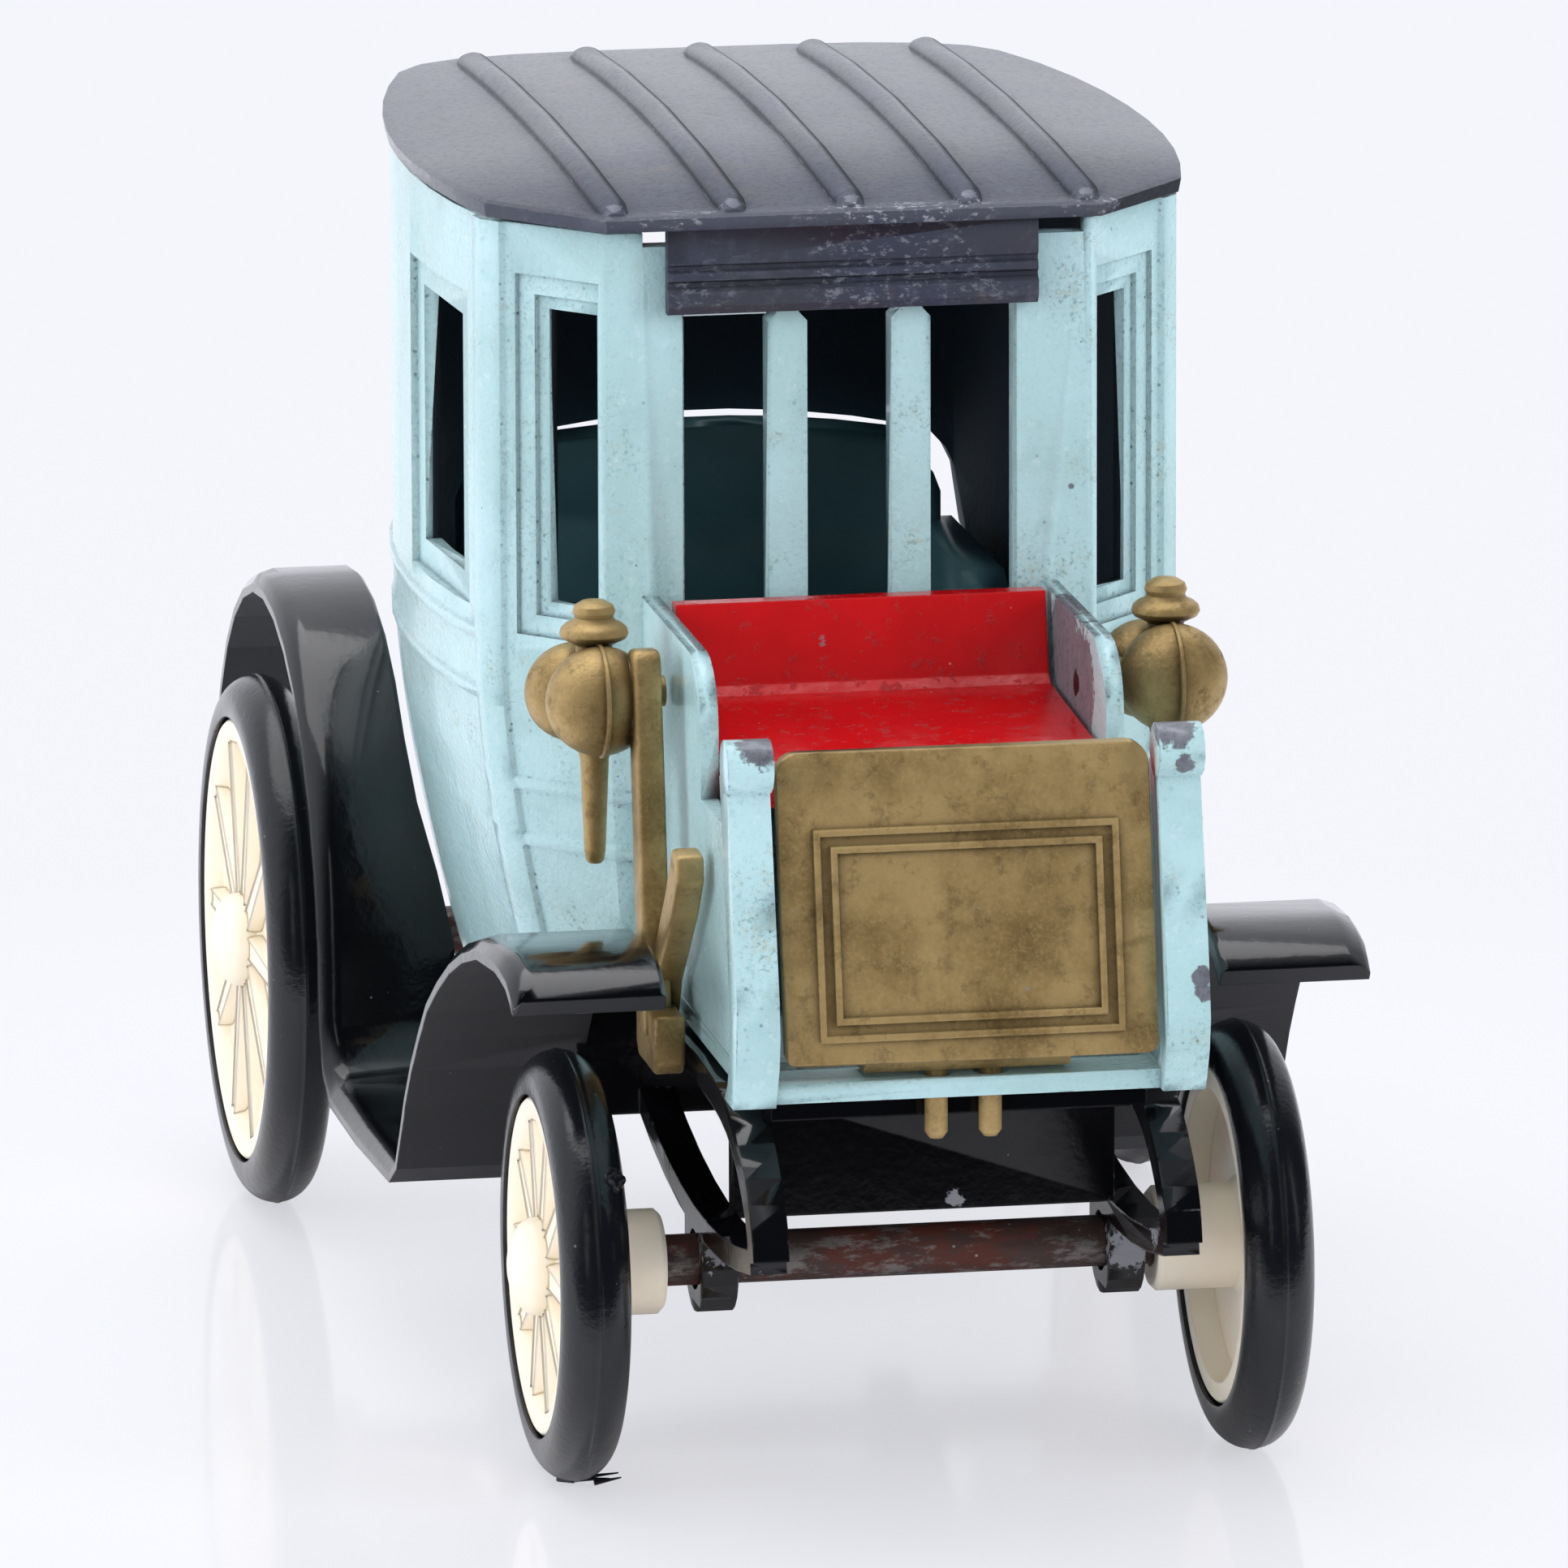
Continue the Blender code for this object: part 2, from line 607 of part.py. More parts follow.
def cheek_outline():
    """The thick edge of a front cheek as (y, z), swept up from the floor to its scroll."""
    front = smooth_path(
        [
            (FLOOR_FRONT - 0.35 * MM, FLOOR_BOTTOM - CHEEK_DROP),
            (DASH_LOW_Y - 0.25 * MM, DASH_LOW + 1.2 * MM),
            (DASH_LOW_Y + 0.75 * MM, DASH_LOW + 6.0 * MM),
            (DASH_TOP_Y - 0.35 * MM, CHEEK_TOP - SCROLL_RADIUS - 0.6 * MM),
        ],
        3,
    )
    back = [(y + CHEEK_DEPTH, z) for y, z in front]
    back[0] = (FLOOR_FRONT + CHEEK_DEPTH, FLOOR_BOTTOM - CHEEK_DROP)
    return front + back[::-1]


def front_post(side):
    """A front light's post: a bar with shoulders and a narrow neck up behind the valance."""
    wide, neck = POST_WIDTH / 2, POST_NECK / 2
    half = [(wide, SILL - MM), (wide, POST_SHOULDER - 0.35 * MM), (neck, POST_SHOULDER), (neck, NOTCH_BOTTOM)]
    centre = side * POST_CENTRE
    outline = [(centre + x, z) for x, z in half] + [(centre - x, z) for x, z in half[::-1]]
    return prism("post", outline, CAB_FRONT + 0.1 * MM, CAB_FRONT + 0.1 * MM + POST_DEPTH, "y")


def body_shell():
    """The aqua casting: cab, posts, driver's floor, cheeks and seat arms."""
    shell = cut(cab_shell(), *light_cutters())
    for side in (-1, 1):
        inner, outer = sorted((side * (WING_OUTER - WING_WALL), side * WING_OUTER))
        fuse(shell, prism("wing", wing_outline(), inner, outer, "x"))
        wing_inner = WING_OUTER - WING_WALL
        low, high = sorted((side * (wing_inner - 0.1 * MM), side * (wing_inner + CHEEK_WIDTH)))
        fuse(shell, prism("cheek", cheek_outline(), low, high, "x"))
        scroll = arc((DASH_TOP_Y - 0.1 * MM, CHEEK_TOP - SCROLL_RADIUS), SCROLL_RADIUS, 12, 342, 11)
        fuse(shell, prism("scroll", scroll, low - 0.05 * MM, high + 0.05 * MM, "x"))
        fuse(shell, front_post(side))
        pilaster = side * (FRONT_LIGHT_HALF - 0.08 * MM), side * (FRONT_LIGHT_HALF + 0.85 * MM)
        fuse(
            shell,
            box(
                "pilaster",
                (min(pilaster), CAB_FRONT + 0.15 * MM, SILL - MM),
                (max(pilaster), CAB_FRONT + POST_DEPTH, NOTCH_BOTTOM - 0.1 * MM),
            ),
        )
    floor_half = WING_OUTER + 0.04 * MM
    low = (-floor_half, FLOOR_FRONT, FLOOR_BOTTOM)
    high = (floor_half, CAB_FRONT + CAB_WALL * 0.6, FLOOR_BOTTOM + FLOOR_THICKNESS)
    fuse(shell, box("floor", low, high))
    half, top = WING_OUTER - WING_WALL - 2 * SEAT_GAP, FLOOR_BOTTOM + FLOOR_THICKNESS
    low = (-half, PEG_Y + DASH_FOOT_REACH + SEAT_GAP, top - 0.1 * MM)
    high = (half, BENCH_FRONT - SEAT_GAP, top + TREAD_RISE)
    fuse(shell, box("tread", low, high))
    for side in (-1, 1):
        hole = [(FLOOR_BOTTOM - MM, 0.0), (FLOOR_BOTTOM - MM, PEG_RADIUS + SEAT_GAP)]
        hole += [(FLOOR_BOTTOM + 2 * MM, PEG_RADIUS + SEAT_GAP), (FLOOR_BOTTOM + 2 * MM, 0.0)]
        cut(shell, turned("peg_hole", hole, (side * PEG_CENTRE, PEG_Y, 0.0), 12, "z"))
    return shell


def roof_half(inset):
    """The right half of the roof's plan, front to back."""
    points = [(ROOF_FRONT_HALF, ROOF_FRONT)]
    chamfer, back = (ROOF_CHAMFER_HALF, ROOF_CHAMFER_BACK), (ROOF_BACK_HALF, ROOF_BACK_Y)
    points += arc_through(chamfer, (ROOF_WIDEST_HALF, ROOF_WIDEST_Y), back, 9)
    points += [
        (ROOF_BACK_HALF - 1.0 * MM, ROOF_BACK_Y + 1.6 * MM),
        (ROOF_BACK_HALF - 2.6 * MM, ROOF_BACK - 1.0 * MM),
        (ROOF_BACK_HALF - 5.2 * MM, ROOF_BACK - 0.25 * MM),
        (ROOF_BACK_HALF - 8.5 * MM, ROOF_BACK),
    ]
    middle = (ROOF_FRONT + ROOF_BACK) / 2
    reach = (ROOF_BACK - ROOF_FRONT) / 2
    across, along = 1 - inset / ROOF_WIDEST_HALF, 1 - inset / reach
    return [(x * across, middle + (y - middle) * along) for x, y in points]


def roof_height(x, y):
    """The roof's top surface: a shallow pillow over an edge of even height."""
    middle = (ROOF_FRONT + ROOF_BACK) / 2
    u = x / (ROOF_WIDEST_HALF + 0.8 * MM)
    v = (y - middle) / ((ROOF_BACK - ROOF_FRONT) / 2 + 1 * MM)
    return ROOF_UNDERSIDE + ROOF_EDGE + ROOF_CROWN * (1 - abs(u) ** 2.4) * (1 - v * v)


def rib(x):
    """A half-round rib lying on the roof from front to back, rounded down at its ends."""
    rings = []
    stops = (0.0, 0.012, 0.035, 0.25, 0.5, 0.75, 0.965, 0.988, 1.0)
    swells = (0.35, 0.75, 1.0, 1.0, 1.0, 1.0, 1.0, 0.75, 0.35)
    for stop, swell in zip(stops, swells):
        y = RIB_FRONT + (RIB_BACK - RIB_FRONT) * stop
        ground = roof_height(x, y)
        half = RIB_RADIUS * (0.55 + 0.45 * swell)
        ring = [(x - half, y, ground - 0.3 * MM)]
        for angle in (170, 130, 90, 50, 10):
            a = math.radians(angle)
            rise = RIB_RADIUS * 0.9 * swell * math.sin(a)
            ring.append((x + half * math.cos(a), y, ground - 0.08 * MM + rise))
        ring.append((x + half, y, ground - 0.3 * MM))
        rings.append(ring)
    return loft("rib", rings)


def roof():
    """The dark roof casting with five ribs, and the blind that hangs over the top of the front lights."""
    rings = [[(x, y, ROOF_UNDERSIDE) for x, y in mirrored(roof_half(0.1 * MM))]]
    for share in (0.0, 0.016, 0.08, 0.2, 0.4, 0.62, 0.82):
        inset = share * ROOF_WIDEST_HALF
        rings.append([(x, y, roof_height(x, y)) for x, y in mirrored(roof_half(inset))])
    rings[1] = [(x, y, z - 0.08 * MM) for x, y, z in rings[1]]
    plate = loft("roof", rings)
    hollow = [
        [(x, y, z) for x, y in mirrored(cab_half(CAB_WALL + 0.6 * MM, 0.0, 0.0))]
        for z in (ROOF_UNDERSIDE - 1 * MM, ROOF_UNDERSIDE + 0.35 * MM)
    ]
    cut(plate, loft("roof_hollow", hollow))
    for i in range(RIB_COUNT):
        fuse(plate, rib((i - (RIB_COUNT - 1) / 2) * RIB_PITCH))
    top = ROOF_UNDERSIDE + ROOF_EDGE / 2
    back = CAB_FRONT - SEAT_GAP
    front = back - VALANCE_THICKNESS
    groove = 0.12 * MM
    blind = [
        (back, VALANCE_BOTTOM),
        (back, top),
        (front, top),
        (front, VALANCE_BOTTOM + 2.0 * MM),
        (front + groove, VALANCE_BOTTOM + 1.9 * MM),
        (front + groove, VALANCE_BOTTOM + 1.75 * MM),
        (front, VALANCE_BOTTOM + 1.65 * MM),
        (front, VALANCE_BOTTOM + 1.35 * MM),
        (front + groove, VALANCE_BOTTOM + 1.25 * MM),
        (front + groove, VALANCE_BOTTOM + 1.1 * MM),
        (front - 0.12 * MM, VALANCE_BOTTOM + 0.9 * MM),
        (front - 0.12 * MM, VALANCE_BOTTOM + 0.35 * MM),
        (front + 0.15 * MM, VALANCE_BOTTOM),
    ]
    return fuse(plate, prism("blind", blind, -VALANCE_HALF, VALANCE_HALF, "x"))


def driver_seat():
    """The red bench: a folded sheet whose front runs down to the driver's floor."""
    half = WING_OUTER - WING_WALL - SEAT_GAP
    back_y = CAB_FRONT - SEAT_GAP - BENCH_SHEET - 1.2 * MM
    foot = FLOOR_BOTTOM + FLOOR_THICKNESS + SEAT_GAP
    outline = [
        (back_y + BENCH_SHEET, BENCH_BACK_TOP),
        (back_y, BENCH_BACK_TOP),
        (back_y - 0.7 * MM, BENCH_LEVEL + 0.35 * MM),
        (back_y - 1.1 * MM, BENCH_LEVEL),
        (BENCH_FRONT + 0.6 * MM, BENCH_LEVEL - BENCH_DROP + 0.1 * MM),
        (BENCH_FRONT, BENCH_LEVEL - BENCH_DROP - 0.5 * MM),
        (BENCH_FRONT, BENCH_LEVEL - BENCH_DROP - 1.6 * MM),
        (BENCH_FRONT + BENCH_SHEET, BENCH_LEVEL - BENCH_DROP - 1.6 * MM),
        (BENCH_FRONT + BENCH_SHEET, BENCH_LEVEL - BENCH_DROP - BENCH_SHEET),
        (back_y, BENCH_LEVEL - BENCH_SHEET),
        (back_y + BENCH_SHEET, BENCH_LEVEL),
    ]
    seat = prism("driver_seat", outline, -half, half, "x")
    leg_low = (-BENCH_LEG_HALF, BENCH_FRONT + 0.05 * MM, foot)
    leg_high = (BENCH_LEG_HALF, BENCH_FRONT + BENCH_SHEET * 0.9, BENCH_LEVEL - BENCH_DROP - 0.7 * MM)
    return fuse(seat, box("leg", leg_low, leg_high))


def passenger_seat():
    """The dark green insert: the cab's floor with a tub seat, its arched back filling the rear light."""
    floor_low = CAB_BOTTOM + 0.05 * MM
    level = floor_low + 1.0 * MM
    floor = [(x, y) for x, y, z in cab_ring(CAB_BOTTOM, wall=CAB_WALL + SEAT_GAP)]
    seat = prism("passenger_seat", floor, floor_low, level, "z")
    low = level - 0.2 * MM
    front = SOFA_BACK_Y - SOFA_BACK_THICKNESS
    half, drop = SOFA_BACK_HALF, SOFA_CROWN - SOFA_SHOULDER
    shoulder = [(half, SOFA_SHOULDER), (half - 0.3 * MM, SOFA_SHOULDER + drop * 0.2)]
    shoulder.append((half - 0.9 * MM, SOFA_SHOULDER + drop * 0.45))
    top, arch_low = half - 1.9 * MM, SOFA_CROWN - 0.65 * MM
    arch = arc_through((top, arch_low), (0.0, SOFA_CROWN), (-top, arch_low), 7)
    back = [(-half, low), (half, low)] + shoulder + arch + [(-x, z) for x, z in reversed(shoulder)]
    fuse(seat, prism("back", uneven(back, SOFA_BACK_RIGHT / half), front, SOFA_BACK_Y, "y"))
    cushion = box(
        "cushion",
        (-SOFA_BACK_HALF + 0.1 * MM, SOFA_FRONT, low),
        (SOFA_BACK_HALF - 0.1 * MM, front + 0.5 * MM, SOFA_CUSHION),
    )
    fuse(seat, cushion)
    arm = [
        (SOFA_FRONT + 0.8 * MM, low),
        (SOFA_BACK_Y - 1.4 * MM, low),
        (SOFA_BACK_Y - 1.4 * MM, SOFA_ARM_TOP),
        (SOFA_FRONT + 3.2 * MM, SOFA_ARM_TOP),
        (SOFA_FRONT + 1.6 * MM, SOFA_ARM_TOP - 1.0 * MM),
    ]
    for side in (-1, 1):
        low_x, high_x = sorted((side * (SOFA_BACK_HALF - 1.2 * MM), side * (SOFA_BACK_HALF + 0.6 * MM)))
        fuse(seat, prism("arm", arm, low_x, high_x, "x"))
    levels = (CAB_BOTTOM - MM, CAB_BOTTOM, TUMBLE_MIDDLE, TUMBLE_START, SOFA_CROWN + MM)
    room = [cab_ring(z, wall=CAB_WALL + SEAT_GAP) for z in levels]
    return boolean(seat, loft("room", room), "INTERSECT")


def dash_panel():
    """The brass dash: a leaning plate with a raised double frame, a foot behind it and two pegs under."""
    lean = (DASH_TOP_Y - DASH_LOW_Y) / (DASH_TOP - DASH_LOW)
    corner = 0.8 * MM
    outline = arc((-DASH_HALF + corner / 2, DASH_LOW + corner / 2), corner / 2, 180, 270, 2)
    outline += arc((DASH_HALF - corner / 2, DASH_LOW + corner / 2), corner / 2, 270, 360, 2)
    outline += arc((DASH_HALF - corner, DASH_TOP - corner), corner, 0, 90, 4)
    outline += arc((-DASH_HALF + corner, DASH_TOP - corner), corner, 90, 180, 4)
    plate = prism("dash_panel", outline, 0.0, DASH_THICKNESS, "y")
    low, high, half = DASH_LOW + 0.9 * MM, DASH_TOP - 2.8 * MM, DASH_HALF - 1.3 * MM
    for inset in (0.0, DASH_FRAME_WIDTH + 0.15 * MM):
        outer = box(
            "frame",
            (-half + inset, -DASH_FRAME_RISE, low + inset),
            (half - inset, DASH_THICKNESS / 2, high - inset),
        )
        inner = inset + DASH_FRAME_WIDTH / 2
        hole = box(
            "frame_hole", (-half + inner, -MM, low + inner), (half - inner, DASH_THICKNESS, high - inner)
        )
        fuse(plate, cut(outer, hole))
    shear = Matrix(((1, 0, 0, 0), (0, 1, lean, DASH_LOW_Y - lean * DASH_LOW), (0, 0, 1, 0), (0, 0, 0, 1)))
    plate.data.transform(shear)
    foot_low = FLOOR_BOTTOM + FLOOR_THICKNESS + SEAT_GAP
    foot = [
        (FLOOR_FRONT + 0.35 * MM, foot_low),
        (PEG_Y + DASH_FOOT_REACH, foot_low),
        (PEG_Y + DASH_FOOT_REACH, DASH_LOW + 0.9 * MM),
        (DASH_LOW_Y + 0.5 * MM, DASH_LOW + 0.9 * MM),
        (DASH_LOW_Y + 0.5 * MM, DASH_LOW + 0.3 * MM),
    ]
    fuse(plate, prism("foot", foot, -DASH_FOOT_HALF, DASH_FOOT_HALF, "x"))
    peg = [
        (PEG_BOTTOM, 0.0),
        (PEG_BOTTOM, PEG_RADIUS * 0.6),
        (PEG_BOTTOM + 0.25 * MM, PEG_RADIUS),
        (foot_low + 0.3 * MM, PEG_RADIUS),
        (foot_low + 0.3 * MM, 0.0),
    ]
    for side in (-1, 1):
        fuse(plate, turned("peg", peg, (side * PEG_CENTRE, PEG_Y, 0.0), 12, "z"))
    return plate


def lamp(name, side):
    """A brass carriage lamp: two joined lobes, chimney cap, tapering stem and a peg into the seat arm."""
    steps = 8
    turn = [math.pi * i / steps for i in range(steps + 1)]
    x = side * LAMP_X
    ball = [(-0.85 * LAMP_BALL * math.cos(a), LAMP_BALL * abs(math.sin(a))) for a in turn]
    rear = [(-0.85 * LAMP_REAR_BALL * math.cos(a), LAMP_REAR_BALL * abs(math.sin(a))) for a in turn]
    for profile in (ball, rear):
        profile[0] = (profile[0][0], 0.0)
        profile[-1] = (profile[-1][0], 0.0)
    body = turned(name, ball, (x + LAMP_BALL_OUT * side, LAMP_Y - LAMP_BALL_SHIFT, LAMP_Z), 18, "y")
    lobe = (x - LAMP_REAR_ASIDE, LAMP_Y + LAMP_REAR_SHIFT, LAMP_Z - LAMP_REAR_DROP)
    fuse(body, turned("rear_lobe", rear, lobe, 16, "y"))
    cap = [
        (LAMP_Z + 0.6 * MM, 0.0),
        (LAMP_Z + 0.6 * MM, 0.75 * MM),
        (LAMP_CAP_BASE - 0.1 * MM, 0.75 * MM),
        (LAMP_CAP_BASE, 1.15 * MM),
        (LAMP_CAP_BASE + 0.35 * MM, LAMP_CAP_RADIUS),
        (LAMP_CAP_BASE + 0.8 * MM, LAMP_CAP_RADIUS * 0.9),
        (LAMP_CAP_BASE + 1.1 * MM, LAMP_CAP_RADIUS * 0.6),
        (LAMP_CAP_BASE + LAMP_CAP_HEIGHT - 0.15 * MM, LAMP_CAP_RADIUS * 0.5),
        (LAMP_CAP_BASE + LAMP_CAP_HEIGHT, 0.0),
    ]
    fuse(body, turned("cap", cap, (x, LAMP_Y, 0.0), 12, "z"))
    stem = [
        (LAMP_STEM_BOTTOM, 0.0),
        (LAMP_STEM_BOTTOM, 0.3 * MM),
        (LAMP_STEM_BOTTOM + 0.3 * MM, 0.42 * MM),
        (LAMP_Z - LAMP_BALL - 0.4 * MM, 0.58 * MM),
        (LAMP_Z - LAMP_BALL + 0.2 * MM, 0.75 * MM),
        (LAMP_Z - 0.4 * MM, 0.75 * MM),
        (LAMP_Z - 0.4 * MM, 0.0),
    ]
    fuse(body, turned("stem", stem, (x, LAMP_Y, 0.0), 10, "z"))
    near, far = WING_OUTER + SEAT_GAP, LAMP_X - 0.4 * MM
    peg = [(near, 0.0), (near, LAMP_ARM_RADIUS), (far, LAMP_ARM_RADIUS), (far, 0.0)]
    peg = [(side * along, radius) for along, radius in peg]
    fuse(body, turned("peg", peg, (0.0, LAMP_Y, LAMP_Z), 10, "x"))
    return body


def control_levers():
    """The right-hand brass casting: a tall lever with the lamp, and a short raked one, on one foot."""
    low, high = -LEVER_X - LEVER_THICKNESS / 2, -LEVER_X + LEVER_THICKNESS / 2
    half = LEVER_DEPTH / 2
    foot_y, top_y = LEVER_Y - LEVER_RAKE, LEVER_Y
    tall = [
        (foot_y - half, LEVER_BASE + 1.2 * MM),
        (foot_y + half, LEVER_BASE + 1.2 * MM),
        (top_y + half, LEVER_TOP - 0.6 * MM),
        (top_y + half * 0.4, LEVER_TOP),
        (top_y - half * 0.4, LEVER_TOP),
        (top_y - half, LEVER_TOP - 0.6 * MM),
    ]
    levers = prism("control_levers", tall, low, high, "x")
    middle = smooth_path(
        [
            (foot_y + 0.9 * MM, LEVER_BASE + 2.0 * MM),
            (foot_y + 0.2 * MM, LEVER_BASE + 3.6 * MM),
            (SHORT_LEVER_Y + 1.2 * MM, SHORT_LEVER_TOP - 2.4 * MM),
            (SHORT_LEVER_Y, SHORT_LEVER_TOP - 0.55 * MM),
        ],
        3,
    )
    last = len(middle) - 1
    widths = [(0.55 + 0.35 * i / last) * MM for i in range(last + 1)]
    front = [offset_path(middle, width)[i] for i, width in enumerate(widths)]
    back = [offset_path(middle, -width)[i] for i, width in enumerate(widths)]
    end = middle[-1][0]
    tip = [(end + 0.25 * MM, SHORT_LEVER_TOP), (end - 0.45 * MM, SHORT_LEVER_TOP - 0.05 * MM)]
    outline = back + tip + front[::-1]
    short_low, short_high = -SHORT_LEVER_X - LEVER_THICKNESS / 2, -SHORT_LEVER_X + LEVER_THICKNESS / 2
    fuse(levers, prism("short_lever", outline, short_low, short_high, "x"))
    foot = [
        (foot_y - 1.9 * MM, LEVER_BASE),
        (foot_y + 1.7 * MM, LEVER_BASE),
        (foot_y + 2.1 * MM, LEVER_BASE + 0.5 * MM),
        (foot_y + 2.1 * MM, LEVER_BASE + 2.4 * MM),
        (foot_y - 2.3 * MM, LEVER_BASE + 2.4 * MM),
        (foot_y - 2.3 * MM, LEVER_BASE + 0.5 * MM),
    ]
    fuse(levers, prism("foot", foot, low + 0.15 * MM, -WING_OUTER - 0.65 * MM, "x"))
    inner = -WING_OUTER - SEAT_GAP
    peg = [(-LEVER_X, 0.0), (-LEVER_X, LEVER_PEG), (inner, LEVER_PEG), (inner, 0.0)]
    fuse(levers, turned("peg", peg, (0.0, foot_y, LEVER_BASE + 1.9 * MM), 10, "x"))
    return fuse(levers, lamp("lamp", -1))


def guard_path():
    """The mudguard's top line as (y, z): over the front wheel, down to the flat and up over the rear."""
    span, drop = GUARD_BOARD_FRONT - GUARD_TOP_Y, GUARD_TOP - GUARD_BOARD
    lip = [(GUARD_FRONT_Y, GUARD_LIP), ((GUARD_FRONT_Y * 0.6 + GUARD_TOP_Y * 0.4), GUARD_TOP - 0.3 * MM)]
    fall = [(GUARD_TOP_Y + span * along, GUARD_TOP - drop * down) for along, down in GUARD_FALL]
    board = [(GUARD_BOARD_FRONT, GUARD_BOARD), ((GUARD_BOARD_FRONT + GUARD_BOARD_BACK) / 2, GUARD_BOARD)]
    board += [(GUARD_BOARD_BACK, GUARD_BOARD), (GUARD_BOARD_BACK + 1.3 * MM, GUARD_BOARD + 0.6 * MM)]
    centre = (WHEELBASE, REAR_TYRE_RADIUS + GUARD_REAR_LIFT)
    arch = arc(centre, GUARD_REAR_RADIUS, GUARD_REAR_START, GUARD_REAR_END, 14)
    top = [(GUARD_TOP_Y, GUARD_TOP)]
    return smooth_path(lip + top, 2)[:-1] + top + fall + board + arch


def guard_sides(y):
    """Inner and outer edge of the mudguard at a distance back: both move out towards the rear track."""
    outward = min(max((y - GUARD_FRONT_Y) / (WHEELBASE / 2 - GUARD_FRONT_Y), 0.0), 1.0)
    t = min(max((y - GUARD_BOARD_FRONT) / (GUARD_BOARD_BACK - GUARD_BOARD_FRONT), 0.0), 1.0)
    t = t * t * (3 - 2 * t)
    inner = GUARD_FRONT_INNER + (GUARD_REAR_INNER - GUARD_FRONT_INNER) * t
    outer = GUARD_FRONT_OUTER + (GUARD_REAR_OUTER - GUARD_FRONT_OUTER) * outward
    return inner, outer


def mudguard(side):
    """One mudguard as a loft of strip sections whose outer edge is rounded over."""
    top = guard_path()
    bottom = offset_path(top, -GUARD_SHEET)
    rings = []
    for (yt, zt), (yb, zb) in zip(top, bottom):
        inner, outer = guard_sides((yt + yb) / 2)
        section = [
            (inner, 1.0),
            (outer, 1.0),
            (outer, 0.62),
            (outer - GUARD_EASE * 0.33, 0.2),
            (outer - GUARD_EASE, 0.0),
            (inner + GUARD_EASE * 0.25, 0.0),
            (inner, 0.25),
        ]
        rings.append([(side * x, yt + (yb - yt) * depth, zt + (zb - zt) * depth) for x, depth in section])
    return loft("mudguard", rings)


def hook(y, z, low, high, top):
    """An axle hook: a shank down from the frame that ends round the axle."""
    outer = AXLE_RADIUS + BORE_CLEARANCE + HOOK_WALL
    shank = [(y - outer, top)] + arc((y, z), outer, 180, 360, 10) + [(y + outer, top)]
    return prism("hook", shank, low, high, "x")


def springs(frame, side):
    """The horn, bowed leaves and axle hooks under one side of the frame."""
    low, high = sorted((side * (SPRING_CENTRE - SPRING_WIDTH / 2), side * (SPRING_CENTRE + SPRING_WIDTH / 2)))
    pan_bottom = CAB_BOTTOM - SEAT_GAP - PAN_THICKNESS
    horn = smooth_path(
        [
            (5.0 * MM, DECK_BOTTOM + 0.25 * MM),
            (-4.0 * MM, DECK_BOTTOM + 0.15 * MM),
            (-8.6 * MM, DECK_BOTTOM - 0.7 * MM),
            (SPRING_FRONT + 0.75 * MM, DECK_BOTTOM - 2.9 * MM),
            (SPRING_FRONT, SPRING_EYE),
        ],
        3,
    )
    fuse(frame, prism("horn", strap(horn, HORN_THICKNESS), low, high, "x"))
    above_axle = FRONT_TYRE_RADIUS + AXLE_RADIUS + BORE_CLEARANCE + SPRING_LEAF / 2
    ends = (SPRING_FRONT + 0.1 * MM, SPRING_EYE), (CAB_FRONT - STEP_THICKNESS, STEP_BOTTOM + 0.6 * MM)
    leaf = strap(arc_through(ends[0], (0.0, above_axle), ends[1], 8), SPRING_LEAF)
    fuse(frame, prism("front_leaf", leaf, low, high, "x"))
    fuse(frame, hook(0.0, FRONT_TYRE_RADIUS, low, high, above_axle))
    below_axle = REAR_TYRE_RADIUS - AXLE_RADIUS - BORE_CLEARANCE
    start = (WHEELBASE - 12 * MM, pan_bottom + 0.2 * MM)
    bow, end = (WHEELBASE - 5 * MM, below_axle + 0.1 * MM), (WHEELBASE, below_axle - 0.3 * MM)
    curve = arc_through(start, bow, end, 6)
    fuse(frame, prism("rear_leaf", strap(curve, SPRING_LEAF), low, high, "x"))
    fuse(frame, hook(WHEELBASE, REAR_TYRE_RADIUS, low, high, pan_bottom + 0.3 * MM))
    for y, z in ((0.0, FRONT_TYRE_RADIUS), (WHEELBASE, REAR_TYRE_RADIUS)):
        bore = arc((y, z), AXLE_RADIUS + BORE_CLEARANCE, 0, 360, AXLE_SEGMENTS)[:-1]
        cut(frame, prism("bore", bore, low - MM, high + MM, "x"))


